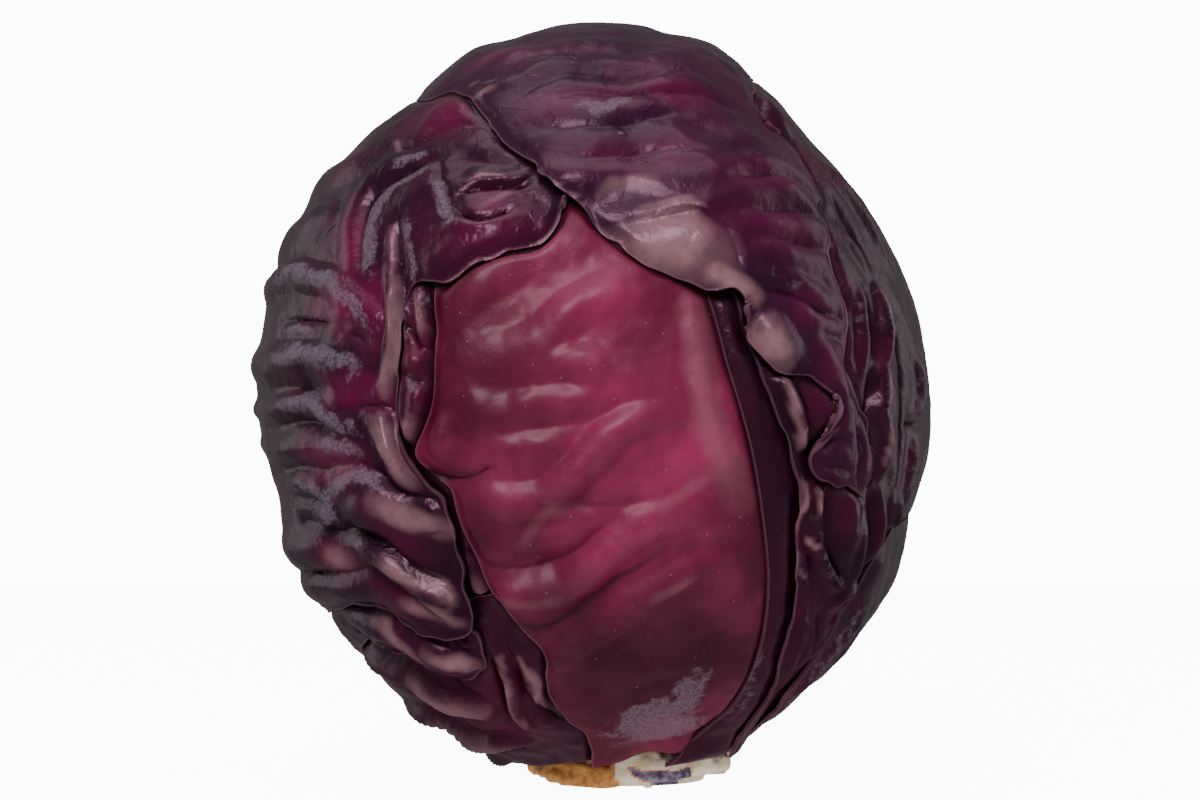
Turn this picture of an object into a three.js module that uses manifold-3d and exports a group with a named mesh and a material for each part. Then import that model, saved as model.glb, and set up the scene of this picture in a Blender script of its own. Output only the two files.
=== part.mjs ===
// A whole red cabbage, cut at the stem and standing on its flat cut face.
// Millimetres, +Z up. The origin is the centre of the cut face of the stem, the front of the head looks along -Y.
// A tight heart of folded inner leaves sits on the stem, and ten loose wrapper leaves lie over it in layers.
import * as THREE from "three";
import { mergeVertices } from "three/addons/utils/BufferGeometryUtils.js";
import Module from "manifold-3d";

// Driving dimensions of the heart, a body that is a little wider than deep and fuller below than above.
const HEART_CENTRE = new THREE.Vector3(-8, 0, 83.5);
const HEART_HALF_WIDTH = 71;
const HEART_HALF_DEPTH = 68;
const HEART_UP = 82;
const HEART_DOWN = 77.5;
const CROWN_POWER = 1.94;
const BELLY_POWER = 2;
const HEAD_LEAN = -0.02;

// The wrapper leaves: thickness of one leaf, and the step from one layer to the next.
const LEAF_THICKNESS = 1.2;
const LAYER_STEP = 2.1;
const CRUMPLED_CELL = 6.3;
const SMOOTH_CELL = 7.5;
const HIDDEN_CELL = 10;
const DRAPE_OUTSIDE = 12;
const DRAPE_INSIDE = 3;
const FOLD_FREE_FROM = 2;
const FOLD_FREE_TO = 9;
const NARROWEST_FOLD = 5.5;
const EDGE_CURL = 0.9;
const EDGE_CURL_WIDTH = 5;

// The stem: a stump with the stalks of the leaves that were cut away, and a core that runs up into the heart.
const STUMP_RADIUS = 20.5;
const CORE_TOP = 58;
const STEM_CLEARANCE = 0.5;
const LEAF_FOOT = 25;

// The eye that looks at the front of the head, level with its middle. Places on the front are given as they are
// seen from there: in millimetres to the right of a plumb line near the stem's axis, and above the ground.
const EYE = new THREE.Vector3(-5.9, -800, 84);
const PLUMB_LINE = 3;

const DEGREE = Math.PI / 180;

// Distance from the heart's centre to its surface along a unit direction.
function heartRadius(d) {
  const across = Math.hypot(d.x / HEART_HALF_WIDTH, d.y / HEART_HALF_DEPTH);
  const power = d.z > 0 ? CROWN_POWER : BELLY_POWER;
  const along = Math.abs(d.z) / (d.z > 0 ? HEART_UP : HEART_DOWN);
  return (across ** power + along ** power) ** (-1 / power);
}

// The point at a height over the heart's surface, in the leaning head.
function overHeart(d, height) {
  const p = d.clone().multiplyScalar(heartRadius(d) + height);
  p.x += HEAD_LEAN * p.z;
  return p.add(HEART_CENTRE);
}

// The direction from the heart's centre to a point of the leaning head.
function directionTo(point) {
  const p = point.clone().sub(HEART_CENTRE);
  p.x -= HEAD_LEAN * p.z;
  return p.normalize();
}

// A place on the front, as the eye sees it: the ray is followed until it meets the layer that most leaves lie in.
function seen(x, z) {
  const ray = new THREE.Vector3(x + PLUMB_LINE, 0, z).sub(EYE);
  const point = new THREE.Vector3();
  const height = (t) => {
    point.copy(ray).multiplyScalar(t).add(EYE);
    return point.distanceTo(HEART_CENTRE) - heartRadius(directionTo(point)) - LAYER_STEP * 2;
  };
  let near = 0.85;
  let far = 1;
  for (let i = 0; i < 40; i++) {
    const middle = (near + far) / 2;
    if (height(middle) > 0) near = middle;
    else far = middle;
  }
  height(near);
  return directionTo(point);
}

// A place at an azimuth round the head, 0 in front and 90 on the right, and at a height above the ground.
function around(azimuth, z) {
  const up = z - HEART_CENTRE.z;
  const power = up > 0 ? CROWN_POWER : BELLY_POWER;
  const share = (1 - (Math.abs(up) / (up > 0 ? HEART_UP : HEART_DOWN)) ** power) ** (1 / power);
  const x = HEART_HALF_WIDTH * share * Math.sin(azimuth * DEGREE);
  const y = -HEART_HALF_DEPTH * share * Math.cos(azimuth * DEGREE);
  return new THREE.Vector3(x, y, up).normalize();
}

// A place under the head where a leaf starts, at an azimuth and a distance from the stem's axis.
function beside(azimuth, distance) {
  const x = distance * Math.sin(azimuth * DEGREE);
  const y = -distance * Math.cos(azimuth * DEGREE);
  return directionTo(new THREE.Vector3(x, y, HEART_CENTRE.z - HEART_DOWN));
}

// A number from 0 to 1 that looks random and is the same each time.
function chance(seed) {
  const s = Math.sin(seed * 12.9898 + 4.1414) * 43758.5453;
  return s - Math.floor(s);
}

const smooth = (a, b, x) => {
  const t = Math.min(1, Math.max(0, (x - a) / (b - a)));
  return t * t * (3 - 2 * t);
};

// A smooth line over the head through directions, as a curve on the heart's surface.
function lineOver(directions) {
  const points = directions.map((d) => d.clone().multiplyScalar(heartRadius(d)));
  return new THREE.CatmullRomCurve3(points, false, "centripetal");
}

// Places on the front are written as pairs, so a list of them reads like a traced line.
const line = (...places) => places.map((p) => (Array.isArray(p) ? seen(...p) : p));

// A fold is a ridge along a line: half its width, and its height over the leaf.
const fold = (halfWidth, height, ...places) => ({ halfWidth, height, places });

// The leaves from the inside out. Each is laid out by three lines from its foot at the stem to its tip: one margin,
// the rib, and the other margin. Folds are in the order in which they lie on the leaf.
const LEAVES = [
  {
    name: "leaf_inner_left",
    cell: HIDDEN_CELL,
    margin: line(beside(-75, LEAF_FOOT), [-50, 40], [-66, 70], [-68, 100], [-58, 122], [-46, 134]),
    rib: line(beside(-48, LEAF_FOOT), [-36, 33], [-50, 62], [-54, 90], [-50, 112], [-40, 128]),
    farMargin: line(beside(-22, LEAF_FOOT), [-16, 22], [-28, 45], [-36, 72], [-38, 95], [-32, 118]),
    folds: [
      fold(3, 1.5, [-48.5, 108], [-48, 100], [-47.5, 94]),
      fold(3, 1.5, [-50, 86], [-50.5, 77]),
      fold(3, 1.5, [-33, 40], [-27, 29]),
    ],
  },
  {
    name: "leaf_foot_left",
    cell: SMOOTH_CELL,
    margin: line(beside(-128, LEAF_FOOT), around(-112, 14), around(-102, 26), around(-90, 38)),
    rib: line(beside(-66, LEAF_FOOT), [-38, 13], [-50, 24], [-56, 34]),
    farMargin: line(beside(-14, LEAF_FOOT), [-15, 13.5], [-21, 17.5], [-23.5, 23], [-26, 30], [-34, 38]),
    folds: [
      fold(4, 2, [-52, 23.5], [-44, 20.5], [-37, 18], [-33, 15.5]),
      fold(3, 2, [-49, 16], [-42, 13.5], [-36, 11]),
      fold(7, 3, [-46, 12.5], [-38, 9.5], [-32, 8.5]),
    ],
  },
  {
    name: "leaf_centre",
    cell: SMOOTH_CELL,
    margin: line(
      beside(-12, LEAF_FOOT), [-9, 12.5], [-15, 17.5], [-19.5, 21.5], [-21.5, 29], [-26.5, 33.5], [-31, 39.5],
      [-35, 44.5], [-38, 50.5], [-41, 57], [-43, 64], [-48, 68.2], [-50.6, 72], [-48.6, 77.5], [-46.5, 85],
      [-46, 93], [-46, 101], [-46, 110], [-40, 121], [-29, 129], [-18, 134],
    ),
    rib: line(beside(4, LEAF_FOOT), [2, 18], [-2, 36], [-8, 60], [-13, 85], [-13, 108], [-9, 125], [-5, 137]),
    farMargin: line(beside(24, LEAF_FOOT), [24, 17], [34, 34], [38, 55], [34, 80], [26, 105], [15, 125], [6, 138]),
    folds: [
      fold(9, 1.6, [-40, 100], [-28, 108], [-12, 112], [4, 109]),
      fold(8, 1.6, [-36, 88], [-22, 97], [-6, 103], [8, 100]),
      fold(6, 1.2, [-30, 72], [-20, 74], [-10, 77]),
      fold(9, 2.2, [-18, 62], [-6, 72], [6, 78], [10, 84]),
      fold(5, 1.2, [-24, 52], [-16, 58], [-6, 57]),
      fold(5, 1.5, [-14, 45], [-4, 53], [6, 58]),
      fold(6, 1.4, [-36, 60], [-32, 50]),
      fold(5, 1.6, [14, 104], [15, 92], [19, 78], [22, 66]),
      fold(5, 1.6, [-43.5, 81], [-45, 74], [-41, 70.5]),
    ],
  },
  {
    name: "leaf_low_left",
    cell: SMOOTH_CELL,
    margin: line(
      beside(-168, LEAF_FOOT), around(-152, 32), around(-128, 50), around(-104, 58), [-62, 53], [-51, 45],
      [-43, 38], [-36, 32],
    ),
    rib: line(
      beside(-150, LEAF_FOOT), around(-134, 24), around(-116, 36), around(-98, 40), [-59, 38], [-51, 34],
      [-43, 30], [-35, 28],
    ),
    farMargin: line(
      beside(-130, LEAF_FOOT), around(-114, 16), around(-99, 24), [-60.5, 30.5], [-57, 27], [-50, 25.5],
      [-43, 23], [-37.5, 22.5], [-34.5, 25],
    ),
    folds: [
      fold(3.5, 1.8, [-58, 35], [-53, 32], [-46, 28.5]),
      fold(3, 2, [-44, 29.5], [-36, 25.5]),
    ],
  },
  {
    name: "leaf_inner_right",
    cell: HIDDEN_CELL,
    margin: line(
      beside(28, LEAF_FOOT), [20, 14], [24, 20], [27, 28], [28.5, 36], [29, 46], [28, 57], [26, 70], [23, 82],
      [20, 92], [16.5, 105], [12, 117], [6, 129],
    ),
    rib: line(beside(50, LEAF_FOOT), [31, 24], [37, 38], [40, 57], [38, 81], [32, 102], [24, 120], [14, 134]),
    farMargin: line(
      beside(74, LEAF_FOOT), around(64, 26), around(62, 52), around(60, 80), around(53, 106), [36, 127], [22, 141],
    ),
    folds: [fold(4, 1.2, [21, 101], [25, 84], [29, 68], [31.5, 54], [31.5, 38], [29, 27])],
  },
  {
    name: "leaf_left",
    cell: CRUMPLED_CELL,
    margin: line(
      beside(-178, LEAF_FOOT), around(-178, 30), around(-174, 62), around(-164, 96), around(-148, 126),
      around(-128, 145), around(-104, 154), [-42, 157], [-29, 151], [-15, 139],
    ),
    rib: line(
      beside(-164, LEAF_FOOT), around(-150, 40), around(-125, 66), around(-104, 90), around(-88, 112), [-62, 126],
      [-48, 133], [-32, 134], [-18, 134.5],
    ),
    farMargin: line(
      beside(-148, LEAF_FOOT), around(-138, 20), around(-120, 31), around(-104, 37), [-66, 37.5], [-58, 38.5],
      [-51, 36], [-43, 33.5], [-36.5, 32], [-36, 38], [-39.5, 44], [-41, 52], [-43, 60], [-48, 66], [-52, 72.5],
      [-55, 80], [-54.5, 89], [-53.5, 97], [-53, 105], [-50, 110.5], [-44, 109.4], [-37, 113.5], [-30, 116.7],
      [-23.5, 118.4], [-20, 121.2], [-18, 124.7], [-17.2, 130.5],
    ),
    folds: [
      fold(8, 3, [-66, 135], [-70, 125], [-70, 117]),
      fold(4, 3, [-62, 131], [-63, 123], [-61, 115], [-58, 110]),
      fold(4, 2.5, [-53, 127], [-55.5, 118], [-56, 109]),
      fold(5, 3.5, [-62, 128], [-57, 136.5], [-50, 140.5], [-43, 143]),
      fold(6, 1.2, [-58, 144], [-50, 148], [-42, 150]),
      fold(6, 2.5, [-42, 142], [-34, 141], [-27, 138]),
      fold(4, 2.4, [-38, 134], [-31, 135], [-26, 135]),
      fold(6, 2.8, [-45, 120], [-36, 120], [-27, 122], [-21, 126]),
      fold(5, 2.6, [-47.5, 113], [-46, 118], [-41, 121]),
      fold(5, 3, [-80, 106], [-70, 104.5], [-61, 99.5]),
      fold(4.5, 2.5, [-82, 98], [-72, 98], [-62, 94.5]),
      fold(5, 3.2, [-84, 90], [-74, 90], [-64, 88]),
      fold(4.5, 2.8, [-78, 80.5], [-68, 79.5], [-60, 77]),
      fold(5, 3.2, [-78, 68], [-70, 70.5], [-62, 71.5]),
      fold(4, 3.4, [-55.5, 108], [-55.5, 99], [-57, 90], [-59, 84.5]),
      fold(4.5, 3, [-59, 82], [-57, 76], [-53, 69.5], [-49, 65]),
      fold(5, 2.6, [-60, 67], [-53, 61.5], [-45, 57]),
      fold(6, 2.8, [-76, 60], [-66, 61], [-56, 54.5]),
      fold(6, 4, [-72, 48], [-66, 50], [-60, 49.5]),
      fold(5, 2.6, [-58, 50.5], [-51, 46], [-43, 42]),
      fold(6, 2.4, [-70, 42.5], [-63, 42], [-55, 41], [-46, 38]),
    ],
  },
  {
    name: "leaf_right",
    cell: SMOOTH_CELL,
    margin: line(
      beside(62, LEAF_FOOT), [29, 21], [31, 29], [33.5, 37], [35, 46], [36, 56], [36.5, 65], [33.5, 74],
      [31.5, 82], [27, 91], [23, 100], [20, 112], [15, 128], [8, 141], [1, 150],
    ),
    rib: line(
      beside(96, LEAF_FOOT), around(92, 26), around(88, 52), around(85, 82), around(80, 108), around(70, 130),
      [22, 147], [5, 155],
    ),
    farMargin: line(
      beside(134, LEAF_FOOT), around(134, 26), around(136, 60), around(132, 95), around(124, 125),
      around(112, 146), around(90, 158), [8, 160],
    ),
    folds: [
      fold(3.5, 2.6, [31.5, 89], [33.5, 83], [35, 75]),
      fold(3, 2.2, [37.5, 61], [36.5, 54], [36, 48]),
      fold(3.5, 2.6, [40, 66], [39.5, 57], [42, 48]),
      fold(4, 2.2, [55, 110], [55.5, 102], [56, 93]),
      fold(4, 2.6, [56, 90], [55, 80], [54, 69]),
      fold(5, 3, [62, 88], [63, 78], [61, 68]),
      fold(4, 1.8, [49, 108], [51, 98], [50, 88]),
      fold(5, 2.2, [43, 137], [50, 128], [56, 116]),
      fold(5, 3, [22, 156], [29, 150.5], [35, 144]),
      fold(3.5, 2, [47, 60], [46.5, 50], [44, 42]),
    ],
  },
  {
    name: "leaf_foot_right",
    cell: SMOOTH_CELL,
    margin: line(
      beside(82, LEAF_FOOT), [30, 19.5], [34, 24.5], [38.5, 30], [42, 35.5], [46, 41.5], [50, 48], [53.5, 53],
      [57, 55.5], around(92, 60), around(108, 66), around(124, 66),
    ),
    rib: line(beside(116, LEAF_FOOT), around(112, 20), around(106, 36), around(108, 54), around(126, 64)),
    farMargin: line(beside(150, LEAF_FOOT), around(150, 20), around(152, 36), around(148, 50), around(138, 60)),
    folds: [
      fold(4, 1, [36, 24], [42, 31], [49, 40]),
      fold(5, 2, around(96, 26), around(94, 44), around(96, 60)),
      fold(5, 2, around(120, 24), around(122, 50)),
    ],
  },
  {
    name: "leaf_top",
    cell: CRUMPLED_CELL,
    margin: line(
      beside(-148, LEAF_FOOT), around(-158, 22), around(-158, 52), around(-152, 86), around(-140, 118),
      around(-120, 140), around(-97, 149), [-46, 153.5], [-37.5, 152.3], [-34.5, 147.5], [-29.5, 142], [-24, 138],
      [-19.5, 133], [-14.5, 128.5], [-11, 124.3], [-4, 118.7], [3, 114], [10, 110.6], [16.5, 107.6], [22.5, 105.5],
      [22.6, 99], [26, 93.3], [31, 90.3], [38, 88.2], [40.5, 82], [37, 76], [35.5, 70], [40, 66],
    ),
    rib: line(
      beside(-174, LEAF_FOOT), around(-176, 50), around(179, 92), around(176, 132), around(176, 156), [-9, 165],
      [3, 151], [13, 135], [23, 121], [31, 108], [35, 96], [41.5, 84], [43, 74], [43.5, 65],
    ),
    farMargin: line(
      beside(160, LEAF_FOOT), around(164, 50), around(158, 92), around(146, 128), around(122, 150), around(86, 160),
      [20, 152], [28, 147.5], [34, 143], [38, 137], [41, 131], [40.5, 126], [42, 120.5], [42, 116], [44, 109],
      [45.8, 102], [45, 93], [46, 85], [50, 76.5], [49.7, 69.5], [47, 64],
    ),
    folds: [
      fold(5, 1.6, [-38, 157.5], [-25, 161.5], [-10, 163.5]),
      fold(5, 1.6, [-30, 148.5], [-10, 150.5], [8, 153], [19, 151]),
      fold(5, 1.5, [-26, 144], [-8, 145.5], [14, 146], [26, 146.5]),
      fold(5, 1.4, [-20, 138], [-4, 140.5], [14, 141.5], [30, 141]),
      fold(4.5, 1.8, [-14, 131.5], [-4, 132.5], [8, 131]),
      fold(4, 1.6, [12, 131.5], [22, 134.5], [34, 135], [39, 132.5]),
      fold(5, 1.6, [20, 123], [30, 126.5], [39, 126]),
      fold(8, 1.8, [-2, 119], [8, 119.5], [17, 116.5]),
      fold(6, 1.5, [24, 116], [36, 114], [42, 110]),
      fold(5, 1.4, [28, 108.5], [36, 106], [44, 102.5]),
      fold(5, 2.5, [25.5, 101], [28, 96], [31, 92]),
      fold(5, 1.2, [36, 100], [42, 90]),
      fold(3.5, 1.5, [37, 70], [41, 76], [47, 78]),
    ],
  },
  {
    name: "leaf_back",
    cell: HIDDEN_CELL,
    margin: line(
      beside(-126, LEAF_FOOT), around(-130, 24), around(-124, 44), around(-126, 66), around(-136, 90),
      around(-152, 110), around(-168, 122),
    ),
    rib: line(beside(-170, LEAF_FOOT), around(-172, 24), around(-170, 60), around(-172, 92), around(-176, 124)),
    farMargin: line(
      beside(142, LEAF_FOOT), around(148, 24), around(146, 46), around(150, 70), around(158, 94), around(170, 114),
      around(178, 124),
    ),
    folds: [],
  },
];

// Folds that nobody sees from the front: side veins that run from the rib to both margins and push the leaf up in
// pillows between them. They are drawn only where the leaf is behind the front.
const PILLOW_SPACING = 0.062;
const PILLOW_HALF_WIDTH = 5.5;
const PILLOW_HEIGHT = 2.4;
const FRONT_ENDS_AT = 0.12;

function pillowFolds(leaf, leafNumber) {
  const made = [];
  for (const side of [-1, 1]) {
    for (let v = 0.1; v < 0.9; v += PILLOW_SPACING) {
      const seed = leafNumber * 100 + v * 57 + side * 7;
      const wander = (chance(seed) - 0.5) * 0.05;
      const height = PILLOW_HEIGHT * (0.6 + 0.6 * chance(seed + 1));
      const places = [0.1, 0.24, 0.36, 0.46].map((out) =>
        directionOn(leaf, 0.5 + side * out, Math.min(1, v + wander + out * 0.3 * (0.7 + 0.6 * chance(seed + 2)))),
      );
      if (places.every((d) => d.y > FRONT_ENDS_AT)) made.push(fold(PILLOW_HALF_WIDTH, height, ...places));
    }
  }
  return made;
}

// The direction of a leaf's point: u runs from one margin over the rib to the other, v from the foot to the tip.
function directionOn(leaf, u, v) {
  const [a, b, c] = leaf.curves.map((curve) => curve.getPointAt(v));
  a.multiplyScalar((1 - u) * (1 - 2 * u));
  b.multiplyScalar(4 * u * (1 - u));
  c.multiplyScalar(u * (2 * u - 1));
  return a.add(b).add(c).normalize();
}

// The closed outline of a leaf as points on the heart, with a flat map of it that tells inside from outside.
const OUTLINE_STEPS = 56;

function outlineOf(leaf) {
  const points = [];
  const steps = OUTLINE_STEPS;
  for (let i = 0; i <= steps; i++) points.push(directionOn(leaf, 0, i / steps));
  for (let i = 1; i < 12; i++) points.push(directionOn(leaf, i / 12, 1));
  for (let i = steps; i >= 0; i--) points.push(directionOn(leaf, 1, i / steps));
  for (let i = 11; i > 0; i--) points.push(directionOn(leaf, i / 12, 0));
  const middle = directionOn(leaf, 0.5, 0.5);
  const right = new THREE.Vector3(0, 0, 1).cross(middle).normalize();
  const up = middle.clone().cross(right);
  const flat = (d) => {
    const x = d.dot(right);
    const y = d.dot(up);
    const angle = Math.acos(Math.min(1, Math.max(-1, d.dot(middle))));
    const scale = angle / Math.max(1e-9, Math.hypot(x, y));
    return [x * scale, y * scale];
  };
  return { points: points.map((d) => d.clone().multiplyScalar(heartRadius(d))), map: points.map(flat), flat };
}

const toSegment = new THREE.Line3();
const nearest = new THREE.Vector3();

function distanceToLine(p, points, closed) {
  let best = Infinity;
  let share = 0;
  const count = points.length - (closed ? 0 : 1);
  for (let i = 0; i < count; i++) {
    toSegment.set(points[i], points[(i + 1) % points.length]);
    const along = toSegment.closestPointToPointParameter(p, true);
    const distance = toSegment.at(along, nearest).distanceToSquared(p);
    if (distance < best) {
      best = distance;
      share = (i + along) / count;
    }
  }
  return { distance: Math.sqrt(best), share };
}

// How far outside a leaf's outline a direction is, in millimetres. It is negative inside.
function outsideOf(leaf, d) {
  const [x, y] = leaf.outline.flat(d);
  const map = leaf.outline.map;
  let inside = false;
  for (let i = 0, j = map.length - 1; i < map.length; j = i++) {
    const [ax, ay] = map[i];
    const [bx, by] = map[j];
    if (ay > y !== by > y && x < ((bx - ax) * (y - ay)) / (by - ay) + ax) inside = !inside;
  }
  const p = d.clone().multiplyScalar(heartRadius(d));
  const { distance } = distanceToLine(p, leaf.outline.points, true);
  return inside ? -distance : distance;
}

// The height that a leaf's folds give it at a direction. Neighbouring folds meet in a crease.
function foldHeight(leaf, d) {
  const p = d.clone().multiplyScalar(heartRadius(d));
  let height = 0;
  for (const ridge of leaf.ridges) {
    const { distance, share } = distanceToLine(p, ridge.points, false);
    const t = distance / Math.max(NARROWEST_FOLD, ridge.halfWidth);
    if (t < 1) height = Math.max(height, ridge.height * (1 - t * t) ** 2 * (1 - 0.5 * Math.abs(2 * share - 1) ** 3));
  }
  return height;
}

// Heights of all layers at a direction: what lies under a leaf, and the leaf's own folds where it shows.
function heightOf(number, d) {
  const outside = LEAVES.map((leaf) => outsideOf(leaf, d));
  let under = 0;
  for (let k = 0; k <= number; k++) {
    const cover = k === number ? 1 : 1 - smooth(-DRAPE_INSIDE, DRAPE_OUTSIDE, outside[k]);
    if (cover === 0) continue;
    let shows = 1;
    for (let m = k + 1; m < LEAVES.length; m++) shows *= smooth(FOLD_FREE_FROM, FOLD_FREE_TO, outside[m]);
    const rim = shows * EDGE_CURL * (1 - smooth(0, EDGE_CURL_WIDTH, -outside[k]));
    const own = LAYER_STEP + (shows > 0 ? shows * foldHeight(LEAVES[k], d) : 0) + rim;
    under += cover * own;
  }
  return under;
}

for (const leaf of LEAVES) {
  leaf.curves = [leaf.margin, leaf.rib, leaf.farMargin].map(lineOver);
  leaf.outline = outlineOf(leaf);
}
LEAVES.forEach((leaf, i) => {
  const folds = [...leaf.folds, ...pillowFolds(leaf, i)];
  leaf.ridges = folds.map((f) => ({
    ...f,
    points: lineOver(line(...f.places)).getPoints(2 * f.places.length),
  }));
});

// A leaf as one closed sheet: a grid of points on its outer face, the same grid one thickness below, and a rim.
function leafGeometry(number) {
  const leaf = LEAVES[number];
  const longest = Math.max(...leaf.curves.map((c) => c.getLength()));
  const widest = Math.max(
    ...[0.2, 0.35, 0.5, 0.65, 0.8].map((v) => {
      const row = [0, 0.25, 0.5, 0.75, 1].map((u) => directionOn(leaf, u, v));
      return row.slice(1).reduce((sum, d, i) => sum + d.angleTo(row[i]), 0) * HEART_HALF_WIDTH;
    }),
  );
  const rows = Math.round(longest / leaf.cell);
  const columns = Math.round(widest / leaf.cell);
  const outerFace = [];
  const innerFace = [];
  for (let i = 0; i <= rows; i++)
    for (let j = 0; j <= columns; j++) {
      const d = directionOn(leaf, j / columns, i / rows);
      const height = heightOf(number, d);
      outerFace.push(...overHeart(d, height).toArray());
      innerFace.push(...overHeart(d, height - LEAF_THICKNESS).toArray());
    }
  const position = [...outerFace, ...innerFace];
  const width = columns + 1;
  const under = width * (rows + 1);
  const index = [];
  const quad = (a, b, c, d) => index.push(a, b, c, a, c, d);
  for (let i = 0; i < rows; i++)
    for (let j = 0; j < columns; j++) {
      const a = i * width + j;
      const corners = [a, a + 1, a + width + 1, a + width];
      if ((i + j) % 2) corners.push(corners.shift());
      quad(...corners);
      quad(...corners.map((n) => n + under).reverse());
    }
  for (let i = 0; i < rows; i++) {
    const left = i * width;
    const right = left + columns;
    quad(left, left + width, left + width + under, left + under);
    quad(right + width, right, right + under, right + width + under);
  }
  for (let j = 0; j < columns; j++) {
    const last = rows * width + j;
    quad(j + 1, j, j + under, j + 1 + under);
    quad(last, last + 1, last + 1 + under, last + under);
  }
  const geometry = new THREE.BufferGeometry();
  geometry.setAttribute("position", new THREE.Float32BufferAttribute(position, 3));
  geometry.setIndex(index);
  return facingOut(geometry);
}

// Turns the faces round if the first build of a sheet has them pointing in.
function facingOut(geometry) {
  const p = geometry.getAttribute("position");
  const index = geometry.index.array;
  const [a, b, c] = [new THREE.Vector3(), new THREE.Vector3(), new THREE.Vector3()];
  let volume = 0;
  for (let i = 0; i < index.length; i += 3) {
    a.fromBufferAttribute(p, index[i]);
    b.fromBufferAttribute(p, index[i + 1]);
    c.fromBufferAttribute(p, index[i + 2]);
    volume += a.dot(b.cross(c));
  }
  if (volume < 0) for (let i = 0; i < index.length; i += 3) [index[i], index[i + 1]] = [index[i + 1], index[i]];
  return geometry;
}

// The heart's surface from a fine round mesh.
function heartGeometry() {
  const sphere = new THREE.IcosahedronGeometry(1, 9);
  sphere.deleteAttribute("normal");
  sphere.deleteAttribute("uv");
  const p = sphere.getAttribute("position");
  const d = new THREE.Vector3();
  for (let i = 0; i < p.count; i++) {
    d.fromBufferAttribute(p, i).normalize();
    p.setXYZ(i, ...overHeart(d, 0).toArray());
  }
  return mergeVertices(sphere, 1e-3);
}

// The stem's outline from its axis at the bottom to its axis at the top.
function stemProfile(clearance) {
  const at = (r, z) => new THREE.Vector2(r, z);
  return [
    at(0, 0), at(STUMP_RADIUS - 1, 0), at(STUMP_RADIUS, 1.2), at(STUMP_RADIUS, 5), at(STUMP_RADIUS - 3, 9.5),
    at(14, 14), at(11.5, 22), at(9.5, 38), at(6.5, CORE_TOP - 6), at(3, CORE_TOP - 1.5), at(0, CORE_TOP),
  ].map((p) => at(p.x === 0 ? 0 : p.x + clearance, p.y + (p.y === 0 ? -clearance : clearance)));
}

// Stalks of the leaves that were cut away, as stubs round the stump: azimuth, width, and their lower and upper end.
const STALKS = [
  { azimuth: -52, width: 15, low: 1.4, high: 5.4 },
  { azimuth: -20, width: 11, low: 1, high: 7.5 },
  { azimuth: 12, width: 13, low: 0.8, high: 6.6 },
  { azimuth: 58, width: 16, low: 2, high: 7.8 },
  { azimuth: 112, width: 15, low: 1.4, high: 6.5 },
  { azimuth: 170, width: 15, low: 1, high: 6 },
  { azimuth: -118, width: 16, low: 1.2, high: 6 },
];
const STALK_REACH = 1.8;

function stalkGeometry({ width, low, high }) {
  const reach = STUMP_RADIUS + STALK_REACH;
  const shape = new THREE.Shape();
  shape.moveTo(-width / 2, STUMP_RADIUS - 5);
  shape.lineTo(-width / 2, STUMP_RADIUS - 1.5);
  shape.quadraticCurveTo(-width / 2.4, reach - 0.6, 0, reach);
  shape.quadraticCurveTo(width / 2.4, reach - 0.6, width / 2, STUMP_RADIUS - 1.5);
  shape.lineTo(width / 2, STUMP_RADIUS - 5);
  const geometry = new THREE.ExtrudeGeometry(shape, {
    depth: high - low, bevelEnabled: false, curveSegments: 3,
  });
  return geometry.translate(0, 0, low);
}

const wasm = await Module();
wasm.setup();

function toSolid(source) {
  const geometry = source.index ? source.toNonIndexed() : source.clone();
  for (const name of Object.keys(geometry.attributes)) if (name !== "position") geometry.deleteAttribute(name);
  const merged = mergeVertices(geometry, 1e-4);
  const vertProperties = new Float32Array(merged.getAttribute("position").array);
  return new wasm.Manifold(new wasm.Mesh({ numProp: 3, vertProperties, triVerts: new Uint32Array(merged.index.array) }));
}

function toGeometry(solid) {
  const mesh = solid.getMesh();
  const geometry = new THREE.BufferGeometry();
  geometry.setAttribute("position", new THREE.BufferAttribute(mesh.vertProperties, 3));
  geometry.setIndex(new THREE.BufferAttribute(mesh.triVerts, 1));
  return geometry;
}

const lathe = (profile, segments) => new THREE.LatheGeometry(profile, segments).rotateX(Math.PI / 2);

function stemGeometry() {
  let solid = toSolid(lathe(stemProfile(0), 28));
  for (const stalk of STALKS) {
    const stub = stalkGeometry(stalk).rotateZ(Math.PI + stalk.azimuth * DEGREE);
    solid = solid.add(toSolid(stub));
  }
  return toGeometry(solid);
}

const leafMaterial = (color) => new THREE.MeshStandardMaterial({ color, roughness: 0.42, metalness: 0 });
const LEAF_COLOURS = {
  leaf_centre: 0x8c3058,
  leaf_inner_left: 0x6e2144,
  leaf_inner_right: 0x4a1f3a,
};
const DARK_LEAF = 0x432035;

const cabbage = new THREE.Group();

function addPiece(name, geometry, material) {
  geometry.computeVertexNormals();
  const mesh = new THREE.Mesh(geometry, material);
  mesh.name = name;
  cabbage.add(mesh);
}

addPiece("stem", stemGeometry(), new THREE.MeshStandardMaterial({ color: 0xd8b98c, roughness: 0.75 }));
addPiece(
  "heart",
  toGeometry(toSolid(heartGeometry()).subtract(toSolid(lathe(stemProfile(STEM_CLEARANCE), 28)))),
  leafMaterial(0x5c1f3e),
);
LEAVES.forEach((leaf, i) => addPiece(leaf.name, leafGeometry(i), leafMaterial(LEAF_COLOURS[leaf.name] ?? DARK_LEAF)));

export default cabbage;
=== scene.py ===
# %% [markdown]
# A whole red cabbage, upright on its cut stem. The real head is a tight ball of leaves. Every leaf grows
# from the stem, wraps round the ones inside it and ends in a free, waved edge. The outer leaves have
# dried a little, so they lie in folds and pillows with sharp creases. Each leaf here starts as a flat
# grid, as a leaf starts flat, and is then laid over the head: one edge of the grid becomes the foot of
# the leaf, and its two sides become the margins.

import math

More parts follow.
